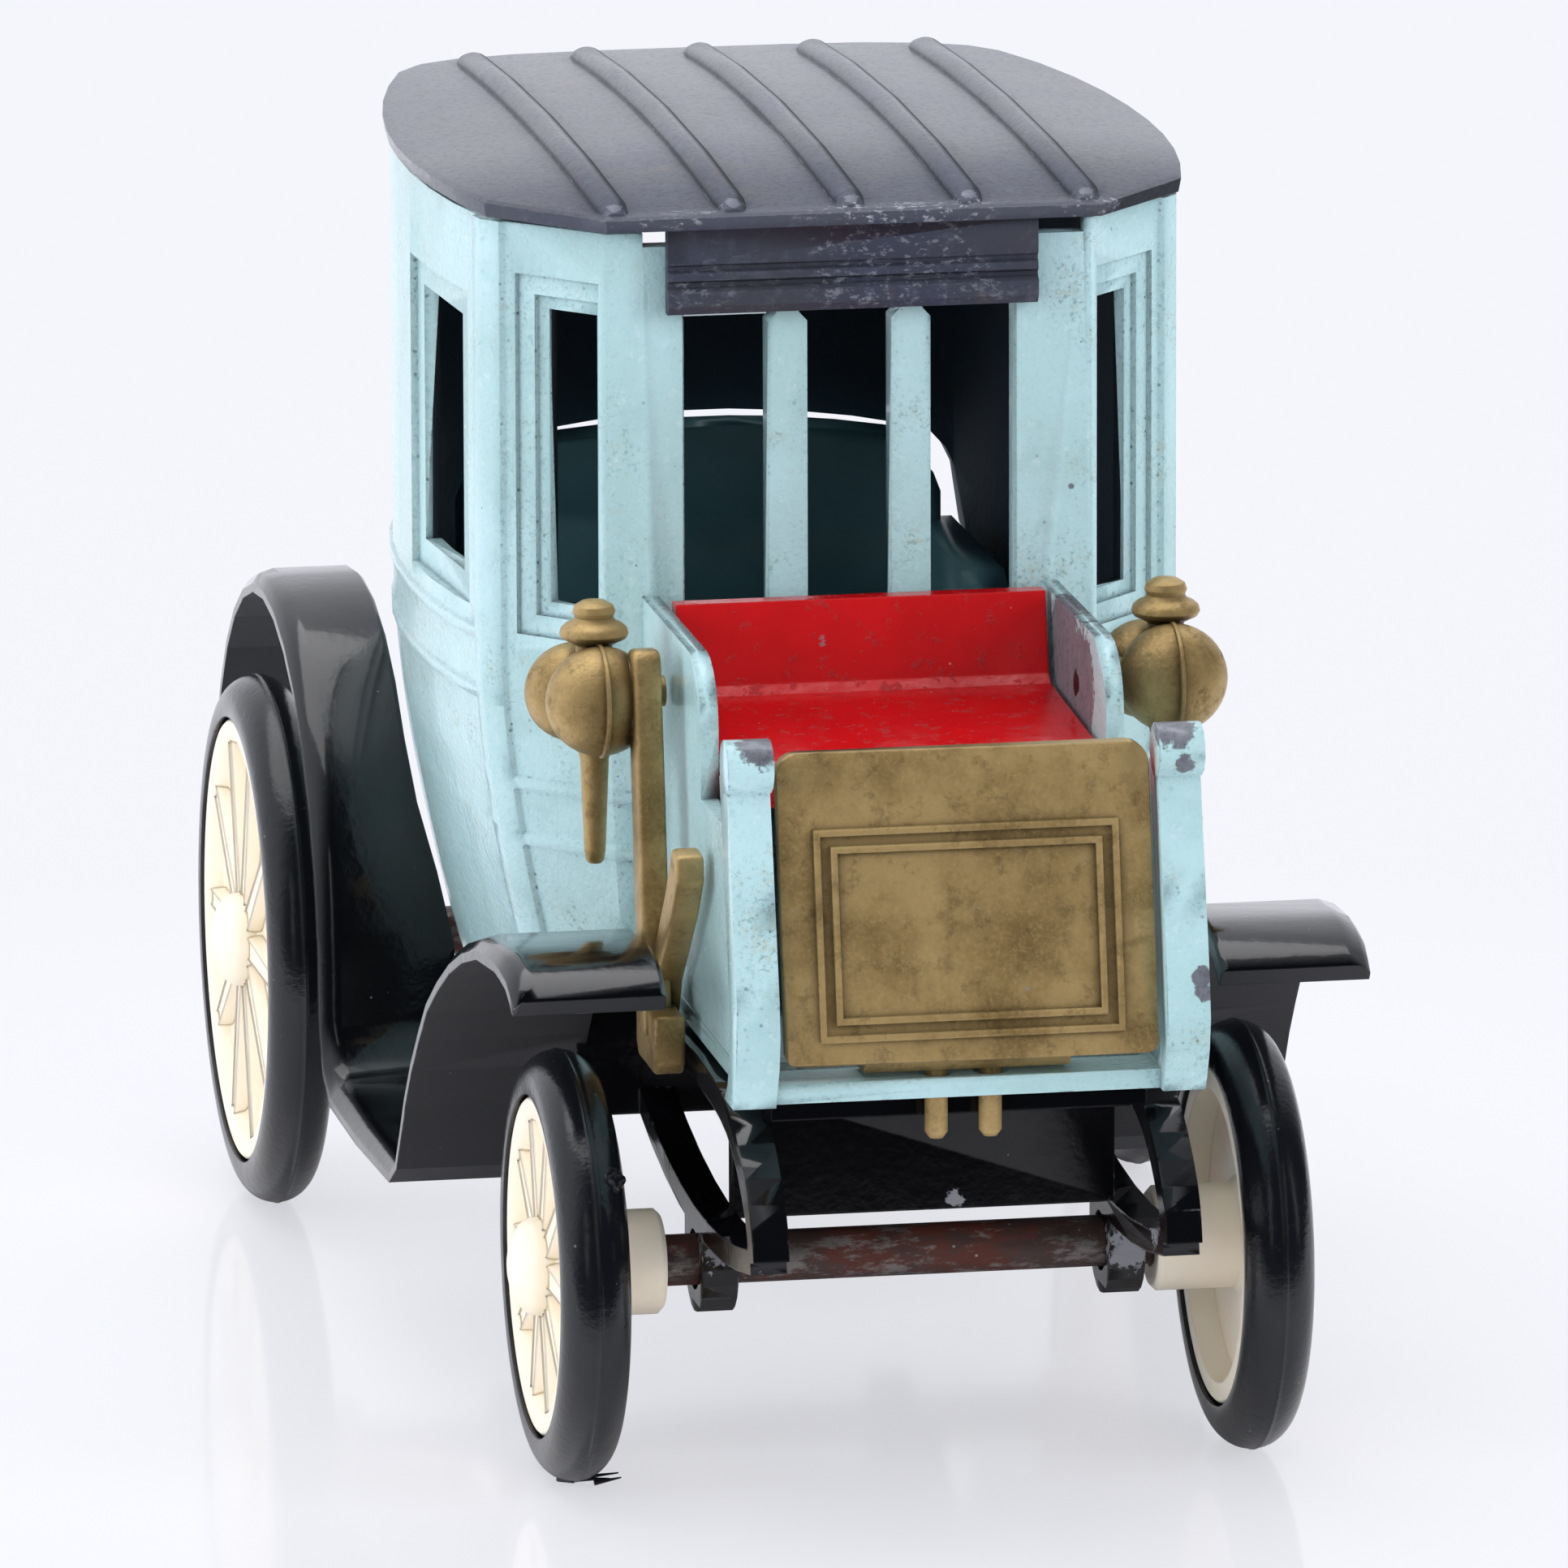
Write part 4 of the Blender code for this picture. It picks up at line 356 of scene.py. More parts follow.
class Finish(NodeGraph):
    """A material whose patterns are laid out in millimetres on the object."""

    def __init__(self, name):
        self.material = bpy.data.materials.new(name)
        super().__init__(self.material)
        self.shader = self.tree.nodes["Principled BSDF"]
        metres = self.node("ShaderNodeTexCoord", output="Object")
        self.place = self.node("ShaderNodeVectorMath", {"operation": "SCALE"}, {0: metres, 3: 1 / MM})

    def facing(self):
        """The way that the surface faces."""
        return self.node("ShaderNodeNewGeometry", output="Normal")

    def noise(self, scale, detail=4.0, roughness=0.55, stretch=None):
        """Noise from 0 to 1 with scale features in a millimetre."""
        at = self.place
        if stretch:
            at = self.node("ShaderNodeMapping", {"vector_type": "POINT"}, {"Vector": at, "Scale": stretch})
        inputs = {"Vector": at, "Scale": scale, "Detail": detail, "Roughness": roughness}
        return self.node("ShaderNodeTexNoise", {}, inputs)

    def cells(self, scale, output="Distance"):
        """Distance to the nearest of scattered points, or their random colour."""
        return self.node("ShaderNodeTexVoronoi", {}, {"Vector": self.place, "Scale": scale}, output)

    def specks(self, scale, size, share):
        """Small round dots of which only a share is there."""
        near = self.step(self.cells(scale), size, size * 0.5)
        chosen = self.node("ShaderNodeSeparateColor", {}, {"Color": self.cells(scale, "Color")})
        return near * self.step(chosen, 1 - share - 0.01, 1 - share)

    def crevice(self, reach):
        """1 in grooves and inner corners narrower than reach millimetres, and 0 on open faces."""
        settings = {"samples": 5, "only_local": True}
        open_share = self.node("ShaderNodeAmbientOcclusion", settings, {"Distance": reach * MM}, "AO")
        return 1 - open_share

    def rounded(self, radius):
        """The surface normal with every edge rounded by a radius in millimetres."""
        return self.node("ShaderNodeBevel", {"samples": 4}, {"Radius": radius * MM})

    def edges(self, radius):
        """1 along the sharp edges of a shape and 0 away from them."""
        agreement = self.vectors("DOT_PRODUCT", self.rounded(radius), self.facing(), 1)
        return self.step(1 - agreement, 0.02, 0.16)

    def near(self, point, radius, ragged=0.35, grain=2.2):
        """A ragged patch round a point given in millimetres in the frame of the car."""
        away = self.vectors("DISTANCE", self.place, point, 1)
        torn = away + (self.noise(grain, 5, 0.7) - 0.5) * (radius * ragged * 4)
        return self.step(torn, radius, radius * 0.82)

    def patches(self, places, ragged=0.35, grain=2.2):
        """Ragged patches, each given by its point and radius."""
        whole = self.near(*places[0], ragged, grain)
        for point, radius in places[1:]:
            whole = whole | self.near(point, radius, ragged, grain)
        return whole

    def inside(self, middle):
        """1 on the inner faces of the walls round a middle, 0 outside and on reveals."""
        away = self.vectors("SUBTRACT", self.place, middle)
        away = self.vectors("MULTIPLY", away, (1, 0.5, 0))
        outward = self.vectors("DOT_PRODUCT", self.facing(), away, 1)
        behind = self.step(self.axis(self.place, 1), CAB_FRONT + 0.45, CAB_FRONT + 0.75)
        return self.step(outward, -6.5, -7.6) * behind

    def bump(self, height, depth, normal=None):
        """A normal for a height from 0 to 1 that stands for depth millimetres."""
        inputs = {"Height": height, "Distance": depth * MM, "Strength": 1.0}
        if normal:
            inputs["Normal"] = normal
        return self.node("ShaderNodeBump", {}, inputs)

    def surface(self, base_color, roughness, normal=None, **others):
        """Connects values to the shader: names with underscores stand for its sockets."""
        sockets = dict(others, base_color=base_color, roughness=roughness)
        if normal:
            sockets["normal"] = normal
        for name, value in sockets.items():
            title = name.replace("_", " ").title().replace("Ior", "IOR")
            self.feed(self.shader.inputs[title], value)
        return self.material


def enamel_finish(colours):
    """Pale blue gloss enamel with grime and painted shade in the grooves, painted highlights along its edges,
    dark pits, edges worn to bare zinc, and painted shade on the cab's inner walls and in a hole in the
    bench's arm.
    """
    f = Finish("pale_blue_enamel")
    crevice = f.crevice(0.8)
    edge = f.edges(0.12)
    grain = f.noise(3.2, 6, 0.7)
    blotch = f.noise(0.45, 5, 0.65)
    worn_edge = edge * f.step(f.noise(0.42, 4, 0.65) + (grain - 0.5) * 0.5, 0.62, 0.67)
    chips = worn_edge | f.patches(WORN_PATCHES) | f.specks(0.33, 0.05, 0.12)
    inner = f.inside(CAB_MIDDLE)
    tint = f.mix(f.step(f.noise(0.12, 3), 0.35, 0.68), shade("A6C8CA"), colours.enamel[:])
    tint = f.mix(f.step(blotch, 0.5, 0.75) * 0.5, tint, shade("97B9BC"))
    tint = f.mix(f.step(f.noise(1.7, 5, 0.7), 0.57, 0.7) * 0.4, tint, shade("C6DDDD"))
    # Lighter along the edges: a painted highlight where the paint runs thin.
    thin_paint_highlight = edge * f.step(f.noise(0.9, 3), 0.35, 0.6)
    tint = f.mix(thin_paint_highlight * 0.45, tint, shade("D3E6E8"))
    yellowed = f.step(f.noise(0.3, 5, 0.7), 0.54, 0.68) * f.step(grain, 0.45, 0.6)
    tint = f.mix(yellowed * 0.4, tint, shade("A9A58C"))
    # Grime and painted shade: darker in the grooves and inner corners.
    crevice_grime_and_shade = f.step(crevice + (grain - 0.5) * 0.3, 0.12, 0.5) * 0.7
    tint = f.mix(crevice_grime_and_shade, tint, shade("5A767D"))
    soiled = f.step(f.noise(0.3, 3) + crevice * 1.1, 0.50, 0.72)
    grit = f.step(f.noise(5.0, 3, 0.7), 0.53, 0.64) * (0.12 + 0.88 * soiled)
    tint = f.mix(grit * 0.65, tint, shade("6F9199"))
    pits = f.specks(3.2, 0.3, 0.35) * f.step(crevice + (blotch - 0.5) * 0.8, 0.04, 0.2)
    tint = f.mix((pits + f.specks(1.3, 0.07, 0.1)).clamped() * 0.8, tint, shade("3D5157"))
    stain = f.step(f.noise(0.55, 6, 0.75), 0.60, 0.70) * f.step(f.noise(3.0, 5, 0.7), 0.46, 0.58)
    tint = f.mix(stain * 0.5, tint, shade("B4AC8C"))
    metal = f.mix(f.noise(1.4, 5), shade("666A72"), colours.zinc[:])
    metal = f.mix(f.step(grain, 0.52, 0.6) * 0.5, metal, shade("5A5B66"))
    base = f.mix(chips, tint, metal)
    # Painted shade of the hole in the bench's bare arm.
    base = f.mix(f.near(*HOLE_SHADE, 0.35, 1.8), base, shade("101216"))
    # Painted shade: the inner faces of the cab walls are darkened for the unlit inside of the closed cab.
    base = f.mix(inner, base, shade("2C3A46"))
    skin = f.noise(0.7, 4, 0.6) * 0.5 + f.noise(4.2, 3, 0.6) * 0.5
    normal = f.bump(skin, 0.09, f.rounded(0.05))
    normal = f.bump(1 - chips - pits * 0.3, 0.035, normal)
    rough = (0.18 + 0.14 * f.noise(0.9) + chips * 0.25 + crevice_grime_and_shade * 0.35) * (1 - inner) + inner * 0.8
    coat = 0.25 * (1 - inner)
    return f.surface(base, rough, normal, metallic=chips * 0.35, coat_weight=coat, coat_roughness=0.08)


def roof_finish(colours):
    """Dark grey paint with a sheen from handling, painted shade beside the ribs and on their right
    flanks, and pale flecks at its front edge.
    """
    f = Finish("worn_roof_paint")
    cloud = f.noise(0.16, 5, 0.65)
    grain = f.noise(4.0, 5, 0.7)
    groove = f.crevice(0.9)
    along, height = f.axis(f.place, 1), f.axis(f.place, 2)
    lip = f.step(along, ROOF_LOW.y + 1.3, ROOF_LOW.y + 0.5)
    brow = f.step(height, ROOF_LOW.z + 3.3, ROOF_LOW.z + 3.8)
    flecks = f.step(f.noise(3.4, 6, 0.75, (0.6, 1.0, 1.0)), 0.54, 0.6) * f.step(f.noise(0.3, 3), 0.42, 0.58)
    flecks = flecks * lip * (0.3 + 0.7 * brow)
    rubbed = f.edges(0.1) * f.step(f.noise(0.9, 5, 0.7), 0.5, 0.62)
    rubbed = rubbed | f.patches([((x, FRONT_Y + 13.0, 47.45), 0.3) for x in RIB_PLACES], 0.6, 3.0)
    shaded_flank = f.step(f.axis(f.facing(), 0), 0.12, 0.5)
    back = f.step(along, ROOF_LOW.y + 1.0, ROOF_LOW.y + 15.0)
    base = f.mix(f.step(cloud, 0.35, 0.7), colours.roof[:], shade("383D4E"))
    base = f.mix(f.step(f.noise(1.4, 6, 0.75), 0.5, 0.66) * 0.4, base, shade("565A6B"))
    stain = f.step(f.noise(0.28, 5, 0.7), 0.54, 0.66) * f.step(f.noise(2.2, 5, 0.7), 0.45, 0.6)
    base = f.mix(stain * 0.5, base, shade("5E5048"))
    # Painted shade: darker at the feet of the ribs and on the flanks that face right.
    base = f.mix(f.step(groove, 0.06, 0.35) * 0.85 | shaded_flank * 0.8, base, shade("17181D"))
    base = f.mix(lip * brow * 0.6, base, shade("50545F"))
    base = f.mix(flecks * 0.8, base, shade("B4B6BD"))
    base = f.mix(rubbed * 0.55, base, shade("83858F"))
    base = f.mix(f.specks(2.2, 0.09, 0.12) * 0.6, base, shade("9C9CA4"))
    normal = f.bump(f.noise(0.5, 4) * 0.7 + grain * 0.3, 0.035, f.rounded(0.05))
    rough = 0.40 - 0.14 * back + 0.1 * cloud + 0.1 * f.step(grain, 0.5, 0.6) + (groove | shaded_flank) * 0.3
    coat = 0.45 * back * (1 - (groove | shaded_flank))
    gloss = dict(coat_weight=coat, coat_roughness=0.14, specular_tint=shade("E4EAFF"))
    return f.surface(base, rough, normal, metallic=rubbed * 0.3, **gloss)


def brass_finish(colours, name, wear=0.5, shine=0.5):
    """Dull gold paint: fine metal grain, dark mottling, painted shade in crevices, grey metal where rubbed.
    """
    f = Finish(name)
    cloud = f.noise(0.22, 5, 0.65)
    grain = f.noise(5.5, 6, 0.75)
    crevice = f.crevice(0.8)
    rubbed = f.edges(0.12) * f.step(f.noise(1.1, 5, 0.7), 0.62 - wear * 0.25, 0.74 - wear * 0.25)
    spots = f.specks(0.9, 0.1, 0.16) * f.step(f.noise(0.15, 2), 0.4, 0.6)
    spots = spots | (f.specks(2.4, 0.16, 0.14) * f.step(f.noise(0.4, 3), 0.45, 0.6))
    base = f.mix(f.step(cloud, 0.30, 0.62), shade("8A7145"), colours.brass[:])
    base = f.mix(f.step(grain, 0.45, 0.7) * 0.45, base, shade("C9AD72"))
    mottle = f.step(f.noise(1.0, 6, 0.75), 0.52, 0.66)
    base = f.mix(mottle * 0.42, base, shade("5C4A27"))
    # Painted shade: darker in the crevices.
    base = f.mix(f.step(crevice, 0.08, 0.6) * 0.8, base, shade("33290F"))
    base = f.mix(rubbed * 0.7 + spots * 0.7, base, shade("86837F"))
    normal = f.bump(grain * 0.4 + f.noise(1.6, 4) * 0.6, 0.07, f.rounded(0.08))
    rough = 0.30 + 0.16 * f.noise(1.5, 4) + mottle * 0.15
    return f.surface(base, rough, normal, metallic=shine - spots * 0.2)


def red_finish(colours):
    """Red gloss enamel, scuffed on the seat with dust and a few chips to the grey below."""
    f = Finish("red_enamel")
    seat = f.near(BENCH_MIDDLE, 9.5, 0.12, 0.4)
    scuff = f.step(f.noise(1.1, 6, 0.75), 0.56, 0.66) * seat
    dust = f.specks(2.0, 0.12, 0.2) * seat
    chips = f.near(BENCH_CHIP, 0.55) | (f.edges(0.14) * f.step(f.noise(0.8, 4), 0.62, 0.68))
    base = f.mix(f.step(f.noise(0.2, 3), 0.35, 0.7), colours.red[:], shade("B80D13"))
    base = f.mix(scuff * 0.5, base, shade("8E1418"))
    base = f.mix(dust * 0.6, base, shade("E9A8A2"))
    base = f.mix(chips, base, shade("77767C"))
    normal = f.bump(f.noise(0.9, 4) + scuff * 0.4, 0.05, f.rounded(0.14))
    rough = 0.2 + scuff * 0.35 + chips * 0.3
    return f.surface(base, rough, normal, coat_weight=0.2, coat_roughness=0.1)


def black_finish(colours):
    """Black gloss enamel that is matt grey on the hidden underside and worn at its edges."""
    f = Finish("black_enamel")
    up = f.axis(f.facing(), 2)
    under = f.step(up, -0.12, -0.5)
    worn = f.edges(0.1) * f.step(f.noise(0.5, 5, 0.7), 0.56, 0.64)
    scuffs = f.patches(SCUFFED_BLACK, 0.6, 2.6)
    base = f.mix(under, colours.black[:], shade("2B2B2E"))
    base = f.mix((worn | scuffs) * 0.85, base, shade("8C8D94"))
    base = f.mix(f.specks(1.5, 0.08, 0.1) * 0.5, base, shade("8C8C90"))
    normal = f.bump(f.noise(0.45, 3) * 0.7 + f.noise(2.5, 4) * 0.3, 0.04, f.rounded(0.12))
    rough = 0.12 + under * 0.45 + (worn | scuffs) * 0.3 + 0.06 * f.noise(0.7)
    coat = 0.08 * (1 - under) + 0.4 * f.step(up, 0.1, 0.5)
    gloss = dict(coat_weight=coat, coat_roughness=0.05, specular_ior_level=0.35)
    return f.surface(base, rough, normal, metallic=worn * 0.3, **gloss)


def ivory_finish(colours):
    """Moulded ivory plastic, darker and yellower in its hollows as painted shade, and slightly soiled."""
    f = Finish("ivory_plastic")
    crevice = f.crevice(1.2)
    base = f.mix(f.step(f.noise(0.25, 4), 0.35, 0.7), colours.ivory[:], shade("F3E8D2"))
    # Painted shade: darker and yellower in the hollows.
    base = f.mix(f.step(crevice, 0.1, 1.0) * 0.5, base, shade("DCC9A2"))
    base = f.mix(f.step(f.noise(1.2, 6, 0.7), 0.64, 0.76) * 0.2, base, shade("BBA57C"))
    normal = f.bump(f.noise(0.9, 4), 0.035, f.rounded(0.16))
    rough = 0.32 + 0.12 * f.noise(1.1)
    return f.surface(base, rough, normal, subsurface_weight=0.12, subsurface_scale=1.2 * MM)


def tyre_finish(colours):
    """Glossy black tyre plastic with dust and lint caught on it."""
    f = Finish("black_tyre")
    dust = f.step(f.noise(1.8, 6, 0.75), 0.60, 0.72)
    ground = f.step(f.axis(f.place, 2), 4.0, 0.0)
    lint = f.specks(1.3, 0.1, 0.12)
    base = f.mix(dust * 0.12 + ground * dust * 0.35, colours.rubber[:], shade("5C564E"))
    base = f.mix(lint * 0.4, base, shade("83817E"))
    normal = f.bump(f.noise(0.8, 4) * 0.6 + f.noise(4.0, 4) * 0.4, 0.04, f.rounded(0.1))
    rough = 0.14 + 0.12 * f.noise(0.6) + dust * 0.2
    return f.surface(base, rough, normal)


def axle_finish(colours):
    """Steel wire browned with rust, with pale worn patches along it."""
    f = Finish("rusty_steel")
    rust = f.step(f.noise(0.5, 6, 0.7, (0.5, 1, 1)), 0.44, 0.6)
    bright = f.step(f.noise(0.9, 6, 0.75, (0.35, 1, 1)), 0.50, 0.60)
    base = f.mix(rust, shade("4A3A36"), colours.rust[:])
    base = f.mix(bright * 0.8, base, colours.steel[:])
    base = f.mix(f.specks(2.2, 0.16, 0.3) * 0.8, base, shade("9A9692"))
    normal = f.bump(f.noise(3.0, 6, 0.75), 0.05)
    rough = 0.42 + rust * 0.25 - bright * 0.08
    return f.surface(base, rough, normal, metallic=0.35 + bright * 0.4 - rust * 0.25)


def green_finish(colours):
    """Dark green plastic with a soft shine and painted shade in its creases."""
    f = Finish("green_plastic")
    base = f.mix(f.step(f.noise(0.2, 4), 0.35, 0.7), colours.green[:], shade("588A92"))
    # Painted shade: darker in the creases.
    base = f.mix(f.crevice(1.5) * 0.8, base, shade("2A474D"))
    base = f.mix(f.specks(1.2, 0.07, 0.12) * 0.5, base, shade("5F7A7C"))
    normal = f.bump(f.noise(0.7, 4), 0.04, f.rounded(0.25))
    return f.surface(base, 0.3 + 0.12 * f.noise(0.8), normal)


def finished(bm, name, body, finish, nodes, smooth=SHARP):
    """Makes an object of a bmesh laid out in millimetres, closed and facing out, in place of CAD nodes."""
    bmesh.ops.remove_doubles(bm, verts=bm.verts, dist=0.0005)
    bmesh.ops.recalc_face_normals(bm, faces=bm.faces)
    bmesh.ops.scale(bm, vec=(MM, MM, MM), verts=bm.verts)
    mesh = bpy.data.meshes.new(name)
    bm.to_mesh(mesh)
    bm.free()
    mesh.materials.append(finish)
    mesh.shade_smooth()
    mesh.set_sharp_from_angle(angle=smooth)
    piece = bpy.data.objects.new(name, mesh)
    bpy.context.scene.collection.objects.link(piece)
    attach(piece, body)
    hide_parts(*nodes)
    return piece


def dressed(node, name, body, finish, smooth=SHARP, reshape=None, even=True):
    """A smooth copy of a CAD node, merged from its loose triangles, and reshaped by a function if given."""
    bm = bmesh.new()
    bm.from_mesh(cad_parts[node].data)
    bmesh.ops.scale(bm, vec=(1 / MM,) * 3, verts=bm.verts)
    if reshape:
        reshape(bm)
    piece = finished(bm, name, body, finish, [node], smooth)
    if even:
        piece.modifiers.new("even_shading", "WEIGHTED_NORMAL").keep_sharp = True
    return piece


def widen_guards(bm):
    """Brings the inner edge of each rear mudguard in to the side of the body, where the coach narrows."""
    for v in bm.verts:
        inner = GUARD_INNER[0] < abs(v.co.x) < GUARD_INNER[1]
        along = GUARD_REACH[0] < v.co.y < GUARD_REACH[1]
        if inner and along and v.co.z < GUARD_TOP:
            share = min((GUARD_TOP - v.co.z) / GUARD_FADE, 1.0)
            v.co.x -= math.copysign(GUARD_DRAWN * share, v.co.x)


def lift_crown(bm):
    """Raises the top of the passengers' seat a little."""
    top = [v for v in bm.verts if v.co.z > SEAT_CROWN]
    bmesh.ops.translate(bm, vec=(0, 0, SEAT_LIFT), verts=top)


def round_ribs(bm):
    """Lays round ribs over the coarse ones of the solid, along the same crests."""
    for x in RIB_PLACES:
        tops = {}
        for v in bm.verts:
            if abs(v.co.x - x) < 0.02 and v.co.z > ROOF_LOW.z + RIB_FOOT:
                y = round(v.co.y, 2)
                tops[y] = max(v.co.z, tops.get(y, 0.0))
        crest = sorted(tops.items())
        swells = [*RIB_ENDS, *[1.0] * (len(crest) - 2 * len(RIB_ENDS)), *reversed(RIB_ENDS)]
        rings = []
        for (y, top), swell in zip(crest, swells):
            half, rise = RIB_HALF * swell, RIB_RISE * swell
            ring = [(x - half, y, top - rise - RIB_ROOT)]
            for turn in range(180, -1, -15):
                a = math.radians(turn)
                ring.append((x + half * math.cos(a), y, top - rise + rise * math.sin(a) ** RIB_FULLNESS))
            ring.append((x + half, y, top - rise - RIB_ROOT))
            rings.append([bm.verts.new(p) for p in ring])
        for near, far in zip(rings, rings[1:]):
            for i in range(len(near)):
                bm.faces.new((near[i - 1], near[i], far[i], far[i - 1]))
        bm.faces.new(rings[0])
        bm.faces.new(rings[-1])


def pillow_normals(mesh):
    """Gives the flat triangles of the roof the normals of the smooth pillow that they stand for."""
    middle = (ROOF_LOW.y + ROOF_HIGH.y) / 2
    reach = Vector((ROOF_HIGH.x + PILLOW_SPARE[0], ROOF_HIGH.y - middle + PILLOW_SPARE[1]))
    normals = [Vector()] * len(mesh.loops)
    for face in mesh.polygons:
        centre = face.center / MM
        on_rib = min(abs(centre.x - x) for x in RIB_PLACES) < RIB_HALF - 0.02
        if face.normal.z < 0.9 or on_rib or centre.z < ROOF_LOW.z + PILLOW_FOOT:
            continue
        for i in face.loop_indices:
            p = mesh.vertices[mesh.loops[i].vertex_index].co / MM
            u, v = p.x / reach.x, (p.y - middle) / reach.y
            fall = PILLOW_POWER * abs(u) ** (PILLOW_POWER - 1)
            slope_x = math.copysign(fall, u) / reach.x * (1 - v * v)
            slope_y = (1 - abs(u) ** PILLOW_POWER) * 2 * v / reach.y
            normals[i] = Vector((slope_x * PILLOW_RISE, slope_y * PILLOW_RISE, 1.0)).normalized()
    mesh.normals_split_custom_set(normals)


def turned(bm, profile, axis, centre, segments):
    """Spins a profile of (along, radius) points about an axis through a centre."""
    axis = Vector(axis)
    across = axis.orthogonal().normalized()
    corners = [bm.verts.new(Vector(centre) + axis * along + across * radius) for along, radius in profile]
    lines = [bm.edges.new(pair) for pair in zip(corners, corners[1:])]
    spun = dict(geom=corners + lines, cent=centre, axis=axis, angle=math.tau, steps=segments)
    bmesh.ops.spin(bm, use_merge=True, use_duplicate=False, **spun)


def arc_points(centre, radius, start, end, steps, squash=1.0):
    """Points of an arc as (along, radius) pairs, angles in degrees."""
    angles = [math.radians(start + (end - start) * i / steps) for i in range(steps + 1)]
    return [(centre[0] + squash * radius * math.cos(a), centre[1] + radius * math.sin(a)) for a in angles]


def plate(bm, outline, sides, soften):
    """Extrudes an outline of (along, up) points from one side to another and rounds the block's edges."""
    low, high = sides
    face = bm.faces.new([bm.verts.new((low, along, up)) for along, up in outline])
    grown = bmesh.ops.extrude_face_region(bm, geom=[face])["geom"]
    moved = [g for g in grown if isinstance(g, bmesh.types.BMVert)]
    bmesh.ops.translate(bm, vec=(high - low, 0, 0), verts=moved)
    edges = list({e for v in moved + list(face.verts) for e in v.link_edges})
    rounding = dict(offset=soften, offset_type="OFFSET", segments=3, profile=0.5)
    bmesh.ops.bevel(bm, geom=edges, affect="EDGES", material=-1, clamp_overlap=True, **rounding)


def wheel_section(sizes, radius, inner):
    """A wheel's half section as (along, radius) points, for its tyre's radius and its inner end."""
    flange = radius - sizes.tyre_wall / MM
    rim = flange - sizes.rim_flange / MM
    face = sizes.rim_half_width / MM
    web = face - sizes.web_recess / MM
    dome, rise = sizes.dome_radius / MM, sizes.dome_height / MM
    boss = sizes.boss_radius / MM
    turns = [math.radians(degrees) for degrees in range(0, 91, 9)]
    hub = [(face + rise * math.cos(a), dome * math.sin(a)) for a in turns]
    # From the dome out over the web and the rim, round the tyre's groove, and in to the boss and its bore.
    return hub + [
        (web + 0.25, dome + 0.05),
        (web + 0.05, dome + 0.25),
        (web, dome + 0.5),
        (web, rim - 0.35),
        (web + 0.12, rim - 0.1),
        (face - 0.15, rim + 0.1),
        (face, rim + 0.3),
        (face, flange - 0.1),
        (face - 0.1, flange),
        (face - 0.45, flange - 0.45),
        (0.45 - face, flange - 0.45),
        (0.1 - face, flange),
        (-face, flange - 0.1),
        (-face, rim + 0.15),
        (web - 0.6, rim),
        (web - 0.6, boss + 0.3),
        (web - 0.9, boss),
        (0.2 - inner, boss),
        (-inner, boss - 0.2),
        (-inner, 1.12),
        (0.3 - inner, 1.06),
        (0.3 - inner, 0.0),
    ]


def add_spokes(bm, sizes, radius, centre, side):
    """The tapering relief spokes between a wheel's hub and rim."""
    rim = radius - sizes.tyre_wall / MM - sizes.rim_flange / MM
    web = sizes.rim_half_width / MM - sizes.web_recess / MM
    dome = sizes.dome_radius / MM
    width, top = sizes.spoke_width / MM, web + sizes.spoke_rise / MM
    for i in range(sizes.spoke_count):
        spoke = bmesh.ops.create_cube(bm, size=1.0)["verts"]
        for v in spoke:
            at_rim, raised = v.co.z > 0, v.co.x > 0
            half = width * (0.36 if at_rim else 0.5) * (0.72 if raised else 1.0)
            reach = rim + 0.2 if at_rim else dome - 0.4
            level = top if raised else web - 0.15
            v.co = Vector((side * level, math.copysign(half, v.co.y), reach))
        edges = list({e for v in spoke for e in v.link_edges})
        rounding = dict(offset=0.12, offset_type="OFFSET", segments=2, profile=0.5)
        soft = bmesh.ops.bevel(bm, geom=edges, affect="EDGES", material=-1, **rounding)
        turn = Matrix.Rotation(math.tau * (i + 0.5) / sizes.spoke_count, 4, "X")
        bmesh.ops.transform(bm, matrix=Matrix.Translation(centre) @ turn, verts=soft["verts"])


def build_wheel(end, hand, sizes, finish):
    """One ivory wheel: rim, dished web with relief spokes, domed hub and inner boss."""
    low, high = car_box(f"tyre_{end}_{hand}")
    centre = (low + high) / 2
    radius = (high.z - low.z) / 2
    side = 1 if hand == "left" else -1
    wheel_low, wheel_high = car_box(f"wheel_{end}_{hand}")
    inner = abs((wheel_low.x if side > 0 else wheel_high.x) - centre.x)
    bm = bmesh.new()
    turned(bm, wheel_section(sizes, radius, inner), (side, 0, 0), centre, 96)
    add_spokes(bm, sizes, radius, centre, side)
    finished(bm, f"ivory_wheel_{end}_{hand}", f"{end}_wheel_set", finish, [f"wheel_{end}_{hand}"])


